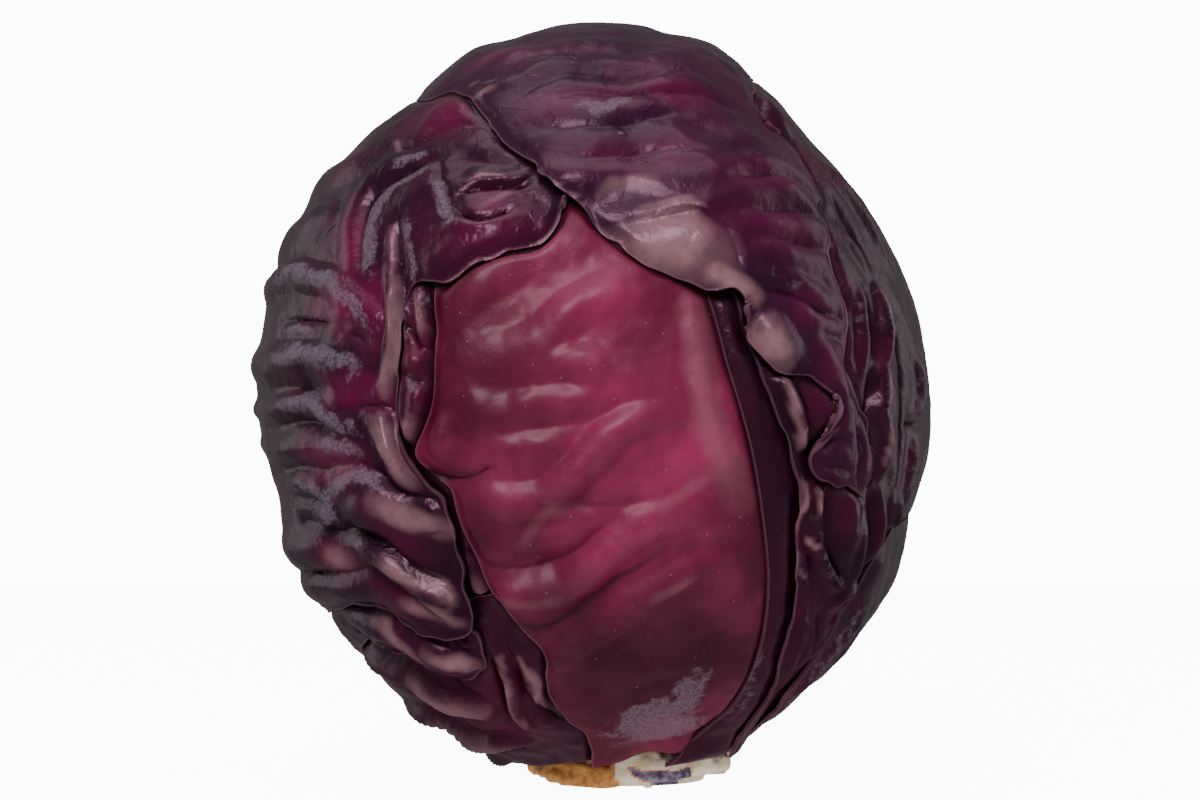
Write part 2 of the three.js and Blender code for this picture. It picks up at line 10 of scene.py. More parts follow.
import bpy
import numpy as np
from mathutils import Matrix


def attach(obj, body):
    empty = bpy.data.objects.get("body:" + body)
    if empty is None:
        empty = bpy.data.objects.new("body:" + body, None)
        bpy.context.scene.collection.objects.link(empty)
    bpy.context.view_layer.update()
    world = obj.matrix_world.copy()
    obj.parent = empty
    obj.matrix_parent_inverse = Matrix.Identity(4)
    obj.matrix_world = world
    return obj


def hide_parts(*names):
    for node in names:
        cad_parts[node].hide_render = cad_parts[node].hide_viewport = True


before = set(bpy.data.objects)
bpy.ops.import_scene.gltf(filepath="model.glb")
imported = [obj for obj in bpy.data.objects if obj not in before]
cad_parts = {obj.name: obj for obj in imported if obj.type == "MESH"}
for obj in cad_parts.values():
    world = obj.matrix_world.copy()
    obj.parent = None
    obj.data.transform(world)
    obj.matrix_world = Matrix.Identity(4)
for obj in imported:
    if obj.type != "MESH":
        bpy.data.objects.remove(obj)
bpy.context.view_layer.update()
MM = 0.001
print("nodes:", sorted(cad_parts))

# %% [markdown]
# The camera stands level with the middle of the head. A long lens from 0.8 m keeps the sides of the round
# head nearly as wide as they are. The picture is 1200 pixels wide and shows 4.5 pixels for each
# millimetre, which sets the width that the lens has to take in.

# %% Camera
EYE = np.array([-5.9, -800.0, 84.0])
PICTURE_WIDTH = 1200
PIXELS_PER_MM = 4.5
SEEN_WIDTH = PICTURE_WIDTH / PIXELS_PER_MM
SENSOR_WIDTH = 36.0
VIEW_LIMIT = 20.0

bpy.ops.object.select_all(action="DESELECT")
bpy.ops.object.camera_add(location=EYE * MM, rotation=(math.pi / 2, 0, 0))
camera = bpy.context.object
camera.name = "camera"
camera.data.sensor_width = SENSOR_WIDTH
camera.data.lens = SENSOR_WIDTH * -EYE[1] / SEEN_WIDTH
camera.data.clip_end = VIEW_LIMIT
bpy.context.scene.camera = camera
print("lens", round(camera.data.lens, 1), "mm")

# %% [markdown]
# The head is drawn over one smooth body, the heart. Every place on the cabbage is a direction from the
# middle of the heart and a height over it. So a leaf can be traced as lines of directions, and a layer of
# leaves is a height. A real head isn't quite even, so the whole of it is sunk a little in a few broad
# places and swells in others.

# %% The heart's shape
HEART_CENTRE = np.array([-8.0, 0.0, 83.5])
HEART_HALF_WIDTH = 71.0
HEART_HALF_DEPTH = 68.0
HEART_UP = 82.0
HEART_DOWN = 77.5
CROWN_POWER = 1.94
BELLY_POWER = 2.0
HEAD_LEAN = -0.02
LAYER_STEP = 2.1
PLUMB_LINE = 3.0
LEAF_FOOT = 25.0
SEEN_LAYERS = 2
RAY_SHARES = (0.85, 1.0)
HALVINGS = 40


def heart_radius(d):
    across = np.hypot(d[..., 0] / HEART_HALF_WIDTH, d[..., 1] / HEART_HALF_DEPTH)
    above = d[..., 2] > 0
    power = np.where(above, CROWN_POWER, BELLY_POWER)
    along = np.abs(d[..., 2]) / np.where(above, HEART_UP, HEART_DOWN)
    return (across**power + along**power) ** (-1 / power)


def settled(d):
    """How far the whole head is sunk at a place, in millimetres. It is negative where the head swells."""
    depth = np.zeros(d.shape[:-1])
    for place, reach, most in HOLLOWS:
        depth += most * np.exp(-2 * (1 - d @ place) * (HEART_HALF_WIDTH / reach) ** 2)
    return depth


def over_heart(d, height):
    p = d * (heart_radius(d) + height - settled(d))[..., None]
    p[..., 0] += HEAD_LEAN * p[..., 2]
    return p + HEART_CENTRE


def direction_to(point):
    p = np.asarray(point, float) - HEART_CENTRE
    p[..., 0] -= HEAD_LEAN * p[..., 2]
    return p / np.linalg.norm(p, axis=-1, keepdims=True)


def seen(x, z):
    """The direction to a place on the front, in millimetres as the camera sees it."""
    ray = np.array([x + PLUMB_LINE, 0.0, z]) - EYE
    near, far = RAY_SHARES
    for _ in range(HALVINGS):
        middle = (near + far) / 2
        point = EYE + ray * middle
        d = direction_to(point)
        if np.linalg.norm(point - HEART_CENTRE) > heart_radius(d) + SEEN_LAYERS * LAYER_STEP:
            near = middle
        else:
            far = middle
    return direction_to(EYE + ray * near)


def around(azimuth, z):
    """The direction to a place round the head. Azimuth 0 is the front and 90 the right."""
    up = z - HEART_CENTRE[2]
    power = CROWN_POWER if up > 0 else BELLY_POWER
    reach = HEART_UP if up > 0 else HEART_DOWN
    share = (1 - (abs(up) / reach) ** power) ** (1 / power)
    angle = math.radians(azimuth)
    right, front = HEART_HALF_WIDTH * share * math.sin(angle), HEART_HALF_DEPTH * share * math.cos(angle)
    d = np.array([right, -front, up])
    return d / np.linalg.norm(d)


def beside(azimuth, distance=LEAF_FOOT):
    """The direction to a place under the head, at a distance from the stem's axis, where a leaf starts."""
    angle = math.radians(azimuth)
    floor = HEART_CENTRE[2] - HEART_DOWN
    return direction_to([distance * math.sin(angle), -distance * math.cos(angle), floor])


def line(*places):
    return np.array([p if isinstance(p, np.ndarray) else seen(*p) for p in places])


# Each of these is a place, how far the hollow reaches and how deep it is in the middle, in millimetres.
HOLLOWS = [
    (seen(-52, 158), 25, 4.6),
    (seen(44, 143), 15, 3.2),
    (seen(-85, 51), 16, 4.6),
    (seen(-72, 31), 13, 3.0),
    (seen(38, 15), 16, 2.4),
    (seen(62, 103), 15, -1.2),
    (seen(65, 77), 12, -1.6),
]


# %% [markdown]
# A traced line is a handful of places with a smooth curve through them. The curve is a Catmull-Rom
# spline, which passes through each place, and it is cut into even steps so that the cells of a leaf's
# grid are even too.

# %% Smooth lines
STEPS_BETWEEN_PLACES = 16


def smooth_line(directions, count):
    points = directions * heart_radius(directions)[:, None]
    p = np.vstack([2 * points[0] - points[1], points, 2 * points[-1] - points[-2]])
    gap = np.sqrt(np.linalg.norm(np.diff(p, axis=0), axis=1))[:, None]
    t = np.linspace(0, 1, STEPS_BETWEEN_PLACES, endpoint=False)[:, None]
    spans = []
    for i in range(1, len(p) - 2):
        before, here, after = gap[i - 1], gap[i], gap[i + 1]
        a, b, c, e = p[i - 1], p[i], p[i + 1], p[i + 2]
        start = ((b - a) / before - (c - a) / (before + here) + (c - b) / here) * here
        end = ((c - b) / here - (e - b) / (here + after) + (e - c) / after) * here
        spans.append(
            b + start * t + (3 * (c - b) - 2 * start - end) * t**2 + (2 * (b - c) + start + end) * t**3
        )
    curve = np.vstack(spans + [p[-2:-1]])
    length = np.concatenate([[0], np.cumsum(np.linalg.norm(np.diff(curve, axis=0), axis=1))])
    at = np.linspace(0, length[-1], count)
    return np.stack([np.interp(at, length, curve[:, k]) for k in range(3)], axis=1), length[-1]


# %% [markdown]
# A fold is a traced line with a width on its left and on its right and a height. A dune is broad and
# soft, a ridge is narrower and rounder, and a lip rises gently on one side and drops off sharply on the
# other. A crease is cut in afterwards: a thin line in the middle of a soft valley, which the leaf rolls
# into from both sides.

# %% Folds
DUNE_POWER = 1.6
CREASE_POWER = 1.5
RING_PLACES = 9


def fold(left, right, height, power, places):
    return {"left": left, "right": right, "height": height, "places": places, "power": power}


def dune(half_width, height, *places):
    return fold(half_width, half_width, height, DUNE_POWER, places)


def ridge(half_width, height, *places, power=CREASE_POWER):
    return fold(half_width, half_width, height, power, places)


def lip(left, right, height, *places):
    return fold(left, right, height, CREASE_POWER, places)


def crease(half_width, depth, *places):
    return fold(half_width, half_width, -depth, CREASE_POWER, places)


def ring(x, z, radius, half_width, height):
    turn = np.linspace(0, 2 * math.pi, RING_PLACES)
    places = [(x + radius * math.cos(a), z + radius * math.sin(a)) for a in turn]
    return ridge(half_width, height, *places)


# %% [markdown]
# These are the leaves from the inside out. Three lines lay out each one, from its foot at the stem to its
# tip: one margin, the rib and the other margin. A pair of numbers is a place on the front, in millimetres
# to the right of a plumb line and above the ground. The cell is the size of the grid's squares where the
# leaf shows on the front. A leaf may also say how its fine wrinkles run (grain), how ragged its edge is
# (notch), how far the edge is pressed down (sink), how strong its folds are, and how far its foot stands
# off (flare), also at single places.

# %% Cells and grain
CELL = {"fine": 0.62, "wide": 0.69, "widest": 0.76, "smooth": 0.72, "plain": 1.3}
FAR_CELL = 1.7
WHOLE = (-1.0, 2.0)
LYING = np.array([0.4, 0.4, 1.0])
UPRIGHT = np.array([1.0, 1.0, 0.4])

# %% [markdown]
# The narrowest leaf that shows is the one in the slit left of the middle. It is a strip with a few
# short, upright folds.

# %% Inner leaf in the left slit
leaf_inner_left = {
    "name": "leaf_inner_left",
    "grain": UPRIGHT,
    "notch": 0.3,
    "rise": 2.0,
    "cell": CELL["smooth"],
    "fine_u": WHOLE,
    "fine_v": WHOLE,
    "margin": line(beside(-75), (-50, 40), (-66, 70), (-68, 100), (-58, 122), (-46, 134)),
    "rib": line(beside(-48), (-36, 33), (-50, 62), (-54, 90), (-50, 112), (-40, 128)),
    "far_margin": line(beside(-22), (-16, 22), (-28, 45), (-36, 72), (-38, 95), (-32, 118)),
    "folds": [
        ridge(1.9, 2.8, (-48.6, 109), (-47.8, 102), (-47.5, 96)),
        ridge(1.8, 2.4, (-51.8, 106), (-51.6, 100), (-51, 97)),
        crease(0.8, 1.8, (-52.7, 102.7), (-50.6, 98.8), (-48, 95.4)),
        ridge(2.6, 2.6, (-50.2, 95), (-49.4, 91)),
        crease(0.8, 1.6, (-53, 90.4), (-50, 88.6), (-47, 88.4)),
        ridge(2.5, 2.8, (-49.2, 88), (-49.4, 80), (-50.6, 74.6)),
        ridge(2.2, 2.4, (-41.6, 56), (-40, 51), (-40, 46), power=1.2),
        ridge(2.6, 2.2, (-37.6, 45), (-35, 42), (-31, 36), (-28, 30), power=1.2),
        ridge(1.8, 2.0, (-25, 32), (-23.4, 26), (-22, 18), power=1.2),
        crease(0.8, 1.4, (-26.5, 32), (-25.4, 26), (-25, 21)),
    ],
}

# %% [markdown]
# Low on the left, by the stump, a leaf lies in long folds that run down to the right, and its end is
# gathered into thin ones.

# %% Leaf by the stump on the left
leaf_foot_left = {
    "name": "leaf_foot_left",
    "flare": 0.2,
    "strength": 1.5,
    "cell": CELL["fine"],
    "fine_u": (0.45, 2.0),
    "fine_v": WHOLE,
    "margin": line(beside(-128), around(-112, 14), around(-102, 26), around(-90, 38)),
    "rib": line(beside(-66), (-38, 13), (-50, 24), (-56, 34)),
    "far_margin": line(beside(-2), (-6, 13), (-12, 18), (-15, 24), (-18, 32), (-27, 42)),
    "folds": [
        crease(0.8, 2.4, (-60, 29.5), (-52, 26.4), (-44, 23.4), (-37, 19.6)),
        ridge(2.8, 3.6, (-62, 26), (-53, 23), (-45, 20.5), (-38, 17.6), (-33, 15), power=1.3),
        crease(0.9, 2.6, (-55, 19.2), (-48, 17.6), (-43, 14.8), (-38, 12), (-34, 10)),
        ridge(2.6, 3.2, (-52, 15), (-44, 12.8), (-38, 10), (-30, 9), (-25, 8.4), power=1.3),
        crease(0.9, 2.2, (-44, 8.4), (-36, 7.2), (-29, 6.8), (-25, 6.6)),
        ridge(2.2, 2.4, (-38, 5.6), (-30, 4.6)),
        ridge(1.4, 2.4, (-33.4, 32), (-31, 27), (-28.6, 22), (-27.6, 17), (-24, 12), power=1.2),
        crease(0.8, 2.2, (-35, 30), (-33, 25), (-31, 20), (-29.6, 15), (-26, 11)),
        ridge(1.3, 2.4, (-29, 31), (-26, 25), (-23.6, 20), (-19.6, 16.6), (-14, 13), power=1.2),
        crease(0.8, 2.0, (-28.4, 27), (-26, 21), (-23, 17), (-17, 12.4)),
        ring(-20, 15.5, 2.6, 1.0, 1.2),
    ],
}

# %% [markdown]
# The large bare leaf at the front has lost the wrappers that lay over it. It is damp and smooth, with
# broad low folds.

# %% The bare leaf
leaf_centre = {
    "name": "leaf_centre",
    "crinkle": 0.0,
    "notch": 0.35,
    "flare": 0.2,
    "strength": 1.2,
    "flares": [(17, 10, 16, 4.4)],
    "cell": CELL["fine"],
    "fine_u": WHOLE,
    "fine_v": WHOLE,
    "margin": line(
        beside(-20, 21.5), (-12, 9.6), (-16.2, 13.4), (-19.6, 18), (-20.8, 23), (-21.5, 29),
        (-26.5, 33.5), (-31, 39.5), (-35, 44.5), (-38, 50.5), (-41, 57), (-43, 64), (-48, 68.2),
        (-50.6, 72), (-48.6, 77.5), (-46.5, 85), (-46, 93), (-46, 101), (-46, 110), (-40, 121),
        (-29, 129), (-18, 134),
    ),
    "rib": line(beside(22, 25), (9, 16), (-2, 36), (-8, 60), (-13, 85), (-13, 108), (-9, 125), (-5, 137)),
    "far_margin": line(
        beside(56, 26), (29, 17), (39, 34), (45, 55), (42, 80), (34, 105), (22, 126), (9, 140),
    ),
    "folds": [
        ridge(8, 1.9, (-43, 100), (-38, 109), (-30, 114), (-20, 119), (-10, 122), power=1.8),
        ridge(7, 1.9, (-38, 93), (-22, 98), (-15, 104), (-8, 107.5), (-2, 108.5), (7, 107), power=1.6),
        ridge(7, 1.7, (-32, 90), (-22, 93.5), (-13, 92), (-5, 90), (3, 87), (10, 84), (13, 78), power=1.8),
        ridge(6, 1.6, (-40, 84), (-32, 82), (-24, 84), (-14, 83.5), (-4, 84.5), power=1.8),
        ridge(5.4, 2.8, (-38, 62), (-30, 61), (-22, 61.6), (-15, 66), (-10, 71), (-6, 76), (0, 80),
            (8, 82), power=1.6),
        ridge(5.5, 1.5, (-34, 73), (-24, 73.5), (-16, 75), power=1.8),
        ridge(5.2, 2.8, (-36, 42), (-26, 40.4), (-18, 41), (-12, 44.5), (-6, 50), (-1, 54), (5, 57),
            (13, 59), power=1.5),
        ridge(4, 1.6, (-30, 52), (-22, 52.5), (-15, 54), (-8, 58), power=1.7),
        crease(1.3, 1.0, (-32, 35), (-20, 34), (-10, 39), (-2, 45), (8, 51)),
        crease(1.3, 0.9, (-36, 47.6), (-24, 46.6), (-12, 51), (-4, 57)),
        ridge(4.6, 2.6, (-30, 29), (-22, 27.6), (-15, 28.6), (-9, 31.4), (-4, 36), (2, 41), (10, 45),
            (20, 49), power=1.5),
        ridge(6, 1.3, (-8, 22), (2, 24), (12, 27), power=1.8),
        ridge(5, 1.6, (-37, 58), (-34, 51), (-30, 46), power=1.8),
        ridge(3.5, 1.5, (12, 108), (13, 100), (14, 92), (15, 84), (17, 76), (19, 70), (22, 63), power=1.6),
        ridge(4.5, 1.5, (8, 71), (14, 69), (20, 70), power=1.8),
        ridge(3.4, 1.6, (-44, 81), (-45.5, 74), (-42, 70.5), power=1.6),
        crease(0.9, 2.0, (-50, 69), (-46, 66.6), (-41.5, 66), (-37, 67), (-34, 69)),
        crease(1.6, 0.7, (-25, 61), (-14, 60.5), (-4, 60), (3, 60)),
        crease(1.8, 0.5, (-28, 78.5), (-16, 79), (-4, 80)),
        crease(0.6, 0.5, (-16, 99.5), (-14, 101.5), (-12, 103)),
    ],
}

# %% [markdown]
# A short leaf lies over the one by the stump. One large pillow fills nearly all of it.

# %% Low leaf on the left
leaf_low_left = {
    "name": "leaf_low_left",
    "cell": CELL["fine"],
    "fine_u": WHOLE,
    "fine_v": (0.5, 2.0),
    "margin": line(
        beside(-168), around(-152, 32), around(-128, 50), around(-104, 58), (-62, 53), (-51, 45),
        (-43, 38), (-36, 32),
    ),
    "rib": line(
        beside(-150), around(-134, 24), around(-116, 36), around(-98, 40), (-59, 38), (-51, 34),
        (-43, 30), (-35, 28),
    ),
    "far_margin": line(
        beside(-130), around(-114, 16), around(-99, 24), (-60.5, 30.5), (-57, 27), (-50, 25.5),
        (-43, 23), (-37.5, 22.5), (-34.5, 25),
    ),
    "folds": [
        dune(5.2, 3.6, (-66, 36), (-58, 33), (-50, 30), (-42, 27.4), (-36, 26)),
        crease(0.9, 2.2, (-60, 39), (-53, 36), (-47, 32.6), (-41, 29.6)),
        ridge(1.6, 2.4, (-46, 36.4), (-41, 33), (-36.4, 29.6)),
        crease(0.8, 1.6, (-43, 33), (-38, 29)),
        ridge(1.4, 2.0, (-41, 36), (-37.6, 33.6)),
    ],
}

# %% [markdown]
# A smooth dark leaf shows as a long strip to the right of the bare one.

# %% Inner leaf on the right
leaf_inner_right = {
    "name": "leaf_inner_right",
    "flare": 2.8,
    "crinkle": 0.0,
    "notch": 0.0,
    "cell": CELL["smooth"],
    "fine_u": (-1.0, 0.5),
    "fine_v": WHOLE,
    "margin": line(
        beside(20, 23), (15, 10.4), (20, 14.4), (24, 20), (27, 28), (28.5, 36), (29, 46), (28, 57),
        (26, 70), (23, 82), (20, 92), (16.5, 105), (12, 117), (6, 129),
    ),
    "rib": line(beside(50), (31, 24), (37, 38), (40, 57), (38, 81), (32, 102), (24, 120), (14, 134)),
    "far_margin": line(
        beside(74), around(64, 26), around(62, 52), around(60, 80), around(53, 106), (36, 127),
        (22, 141),
    ),
    "folds": [
        ridge(3, 1.0, (19, 108), (21, 101), (25, 84), (29, 68), (31.5, 54), (31.5, 38), (29, 27),
            power=1.8),
        crease(0.5, 0.7, (30, 58), (34, 57)),
    ],
}

# %% [markdown]
# The wrapper leaves have many more folds. On the left they run from the side of the head to the margin,
# on the top they fan out from left to right, and on the right they stand upright.

# %% The left wrapper
leaf_left = {
    "name": "leaf_left",
    "sinks": [(-47, 34.5, 11, 0.9, 0.3)],
    "cell": CELL["widest"],
    "fine_u": (0.42, 2.0),
    "fine_v": (0.32, 2.0),
    "margin": line(
        beside(-178), around(-178, 30), around(-174, 62), around(-164, 96), around(-148, 126),
        around(-130, 148), around(-108, 160), (-35, 163), (-20, 159), (-5, 148),
    ),
    "rib": line(
        beside(-164), around(-150, 40), around(-125, 66), around(-104, 90), around(-88, 112),
        (-62, 126), (-48, 133), (-31, 136.5), (-10, 140),
    ),
    "far_margin": line(
        beside(-148), around(-138, 20), around(-120, 31), around(-104, 37), (-66, 37.5), (-58, 37),
        (-51, 35), (-43, 33), (-37.6, 32.6), (-36.2, 36.6), (-38.8, 43), (-41, 52), (-43, 60),
        (-48, 66), (-52, 72.5), (-55, 80), (-54.5, 89), (-53.5, 97), (-53, 105), (-50, 110.5),
        (-44, 109.4), (-37, 113.5), (-30, 116.7), (-23.5, 118.4), (-20, 121.2), (-18, 124.7),
        (-17.2, 130.5),
    ),
    "folds": [
        dune(6, 1.4, (-50, 147), (-45, 149.4), (-41, 149.6), (-37.4, 148.6)),
        dune(3, 1.0, (-60, 144), (-56, 147), (-50, 150)),
        crease(0.9, 1.3, (-56, 142.4), (-53, 141.6), (-50.6, 141.6), (-48.6, 143), (-46, 144.6),
            (-41, 145.8), (-34, 146.4)),
        dune(8, 2.0, (-73, 132), (-66, 136.4), (-60, 139.6)),
        dune(8, 2.2, (-83, 119), (-75, 123), (-68, 124)),
        dune(5, 2.0, (-64.5, 111), (-65.4, 120), (-64.2, 127), (-61, 133), (-56, 137), (-51.6, 138.4),
            (-47, 139.8)),
        crease(1.0, 1.7, (-61.4, 112.4), (-62.4, 120), (-61.6, 127), (-60, 130.4), (-56.6, 132.6),
            (-51.5, 135.6), (-47.5, 138), (-44.7, 138.6)),
        dune(2.6, 0.9, (-58.8, 112), (-59.2, 120), (-58, 127), (-53, 132.4), (-47.6, 135)),
        dune(1.7, 1.5, (-54.4, 109), (-54.8, 116), (-54, 122), (-52.6, 126)),
        crease(0.8, 1.6, (-53, 108), (-53.3, 115), (-53.2, 121), (-52.4, 126)),
        lip(0.8, 2.6, 0.9, (-51, 110), (-50.2, 115), (-51, 120), (-50.6, 126)),
        crease(0.8, 1.1, (-44.7, 138.4), (-43.4, 133), (-42, 128.6), (-41, 125)),
        dune(4, 1.0, (-42, 142), (-37, 141.6), (-32, 139.6)),
        lip(5, 1.0, 1.9, (-38.2, 131.4), (-37.3, 132.7), (-35.6, 133.6), (-32.7, 133.6), (-29.9, 133),
            (-28.2, 133.1), (-25.4, 134.8), (-23.8, 137)),
        ridge(1.2, 0.5, (-35.6, 124.8), (-32.7, 127.9), (-27.6, 130.7)),
        crease(0.7, 1.2, (-38.6, 130.4), (-36.6, 131.6), (-32.4, 132), (-28.6, 131.6), (-25, 133.4)),
        crease(0.8, 1.3, (-39.8, 130), (-40, 127), (-38.6, 124.6), (-35.6, 123.4), (-32, 124),
            (-29.8, 126)),
        lip(1.0, 5, 2.0, (-39.6, 126), (-38.6, 123), (-36, 121.6), (-33.6, 121.8), (-31.4, 122.8),
            (-29.4, 124.6), (-28.4, 126.4)),
        dune(5, 1.9, (-44, 115), (-38, 118), (-31, 120.6), (-24.6, 125)),
        crease(0.7, 1.3, (-44, 111.6), (-40, 112.6), (-36, 115), (-33, 117), (-30, 117.6)),
        lip(3, 0.7, 0.9, (-44, 109.8), (-41, 111.6), (-38, 113.4), (-35, 115.4)),
        dune(3, 1.0, (-47.4, 120), (-47, 114), (-44.6, 111.6)),
        dune(4.6, 3.0, (-90, 111), (-80, 110.8), (-73.5, 111.5), (-68, 109.5), (-64, 105.5), (-60, 102.4),
            (-58, 99)),
        crease(0.9, 1.6, (-80, 102), (-74, 101.6), (-69, 100.6), (-64.6, 99), (-60, 96)),
        dune(1.6, 1.4, (-80, 99.6), (-76, 99.4), (-72, 98.6)),
        dune(5.4, 3.4, (-90, 92.6), (-80, 92.8), (-72, 92.4), (-66, 91.4), (-63, 90)),
        crease(1.0, 1.5, (-86, 85.6), (-76, 86), (-68, 85.6), (-61, 84.6)),
        ridge(2.8, 3.0, (-90, 82), (-80, 83), (-74, 82.8), (-70, 80.8), (-66, 78.8), (-60.4, 77)),
        crease(0.9, 2.2, (-84, 78), (-76, 78.8), (-70, 77.2), (-64, 75)),
        dune(3.2, 2.6, (-90, 73), (-80, 73.6), (-72, 73.4), (-67, 74), (-62.4, 72.6), (-60, 70.6)),
        crease(1.0, 1.8, (-86, 69), (-78, 68.6), (-71, 68), (-66, 70)),
        lip(0.9, 6, 3.2, (-70, 63.4), (-66.4, 66), (-62.2, 68), (-59.4, 66.4), (-56.4, 63.8), (-51, 61.2),
            (-46, 60)),
        crease(0.9, 2.2, (-67, 68), (-62.2, 70.2), (-58.6, 68), (-55.6, 65.4), (-51, 63), (-46, 62)),
        ridge(2.6, 3.0, (-55, 113), (-54.8, 106), (-55, 99), (-55.6, 93), (-56.4, 88), (-58, 85)),
        crease(0.9, 1.9, (-66, 82), (-62, 82.2), (-59, 82.6), (-55, 83.2)),
        ridge(4.2, 3.0, (-60, 80.6), (-57, 78.4), (-55.8, 73.6), (-53.3, 68.4), (-48.8, 63.4)),
        ridge(2.4, 2.8, (-86, 66), (-76, 65.4), (-70, 63), (-68.6, 60), (-71.4, 57), (-70.6, 53)),
        dune(6.4, 3.0, (-66, 60), (-58, 60.6), (-52, 58.4), (-47, 56), (-42.6, 54.2)),
        crease(0.8, 1.2, (-51, 55.4), (-48, 54.6), (-45, 54.7), (-42.5, 54)),
        crease(1.0, 3.0, (-76, 57), (-71.7, 55.4), (-68.2, 54), (-62.8, 54.7), (-58, 52.6), (-53.3, 49),
            (-47.4, 45), (-43, 44)),
        ridge(3.2, 3.0, (-62.8, 51.8), (-56, 48.8), (-50, 45), (-45, 41.8), (-38, 38)),
        crease(0.9, 1.9, (-60, 47.6), (-54, 44.4), (-47, 40.6), (-40, 37.4)),
        dune(6.4, 2.4, (-84, 50), (-74, 50.2), (-66.4, 49.4)),
        crease(0.9, 1.6, (-76, 46), (-69, 44.8), (-64, 45.4), (-60.5, 46.6)),
        dune(5.6, 2.6, (-80, 41.6), (-68, 41.4), (-60, 42), (-52, 39.4), (-46, 37)),
        crease(0.8, 1.2, (-46, 36.6), (-41, 34.8), (-37, 33.4)),
    ],
}

# %% [markdown]
# The wrapper on the right has narrow upright folds like tubes beside its torn margin.

# %% The right wrapper
leaf_right = {
    "name": "leaf_right",
    "flare": 2.6,
    "grain": UPRIGHT,
    "notch": 0.4,
    "cell": CELL["fine"],
    "fine_u": (-1.0, 0.5),
    "fine_v": WHOLE,
    "margin": line(
        beside(62), (29, 21), (31, 29), (33, 37), (33.8, 46), (34, 56), (34.4, 65), (32.4, 74),
        (29.6, 82), (26, 91), (23, 100), (20, 112), (15, 128), (8, 141), (1, 150),
    ),
    "rib": line(
        beside(96), around(92, 26), around(88, 52), around(85, 82), around(80, 108), around(70, 130),
        (22, 147), (5, 155),
    ),
    "far_margin": line(
        beside(134), around(134, 26), around(136, 60), around(132, 95), around(124, 125),
        around(112, 146), around(90, 158), (8, 160),
    ),
    "folds": [
        ridge(1.9, 4.2, (29.6, 90), (31.2, 85), (32.8, 80.1), (33.6, 76.4), (34.6, 72), power=1.2),
        crease(0.9, 2.6, (32.6, 90), (34, 85), (35.4, 80), (36.4, 75)),
        ridge(1.2, 2.6, (27, 88), (28.8, 84), (30.6, 79.6), (31.6, 76), power=1.3),
        crease(0.7, 2.0, (28.6, 88.6), (30, 84.6), (31.6, 80), (32.6, 76)),
        ridge(2.0, 2.0, (38.6, 90), (40, 84), (41.6, 80)),
        ridge(1.6, 3.8, (34.6, 67), (35, 62), (33.8, 57.3), (33.4, 53.5), (34.6, 48.4), (33.8, 42),
            power=1.2),
        crease(0.7, 1.8, (36.4, 66), (36.6, 60), (35.4, 55), (36.4, 49)),
        ridge(1.6, 4.0, (37.4, 67), (37.8, 62.8), (36.8, 59), (37, 54.2), (37.6, 50), (39.8, 46.6),
            (41.6, 44), power=1.2),
        crease(0.9, 2.2, (39.6, 65), (39.2, 56), (40.6, 50), (43, 45.6)),
        dune(4, 2.0, (45, 64), (45, 57), (45.4, 51)),
        crease(0.9, 2.0, (49.4, 64), (50.4, 58), (48.6, 50), (45.6, 42)),
        ridge(2.2, 2.2, (48, 58), (47, 50), (44.6, 44)),
        ridge(2.4, 2.4, (40, 40), (43, 42), (48, 44.5)),
        crease(0.9, 1.6, (46, 40.6), (42, 37.4), (40, 32)),
        ridge(2.0, 2.2, (46.5, 38.4), (43, 35), (40.4, 29)),
        ridge(2.2, 2.0, (37.6, 36), (36.6, 31), (34, 26)),
        ridge(1.4, 2.6, (34.6, 44), (34.2, 40), (34, 35), (32.6, 29), (31, 24), power=1.2),
        ridge(1.2, 2.4, (46, 41), (42.6, 38.4), (40.6, 35), (40.4, 31), power=1.2),
        crease(0.7, 1.8, (44.6, 38.6), (42.4, 35.6), (41.6, 31.6)),
        crease(0.8, 1.8, (38, 39), (37.2, 34), (36, 29), (33, 23)),
        ridge(1.2, 2.2, (38.6, 33), (37, 28.6), (33.6, 24), (30.6, 20), power=1.2),
        ridge(2.0, 3.6, (52.4, 110.4), (53.4, 104), (53.8, 98), (54.6, 92.6), power=1.2),
        crease(0.9, 2.2, (49.8, 108), (50.8, 100), (51.6, 93)),
        ridge(1.7, 3.6, (54, 90.6), (53.2, 85), (52, 81), (53.2, 76), (53, 71.5), (52, 67), power=1.2),
        crease(0.9, 2.2, (50.8, 90), (50.6, 84), (49.6, 78), (50.4, 70)),
        dune(4, 2.6, (62, 94), (63, 87), (62, 80)),
        dune(4, 2.6, (61.6, 76), (61, 68), (58.6, 60)),
        crease(1.2, 2.4, (58.4, 100), (59, 88), (58, 76), (56.4, 64)),
        crease(1.2, 1.8, (62.6, 78.4), (59.6, 77.6)),
        dune(3, 1.6, (48.6, 110), (50, 98), (48.6, 88)),
        crease(0.9, 1.4, (46.8, 105), (48, 98), (48, 90)),
        ridge(2.6, 2.2, (52, 64), (51.8, 57), (50, 49)),
        ridge(2.4, 2.4, (57, 63), (56.6, 57), (54, 49)),
        crease(1.0, 1.8, (54.6, 62), (54.4, 56), (52.4, 48)),
        dune(5, 2.2, (43, 137), (50, 128), (56, 116)),
        dune(4, 1.8, (47, 122), (50, 115), (52.5, 110)),
        dune(4.5, 2.8, (23, 156), (29, 150.5), (35, 144)),
        crease(1.0, 1.4, (44.5, 130), (49, 121), (53, 113)),
    ],
}

# %% [markdown]
# A plain leaf closes the head low on the right.

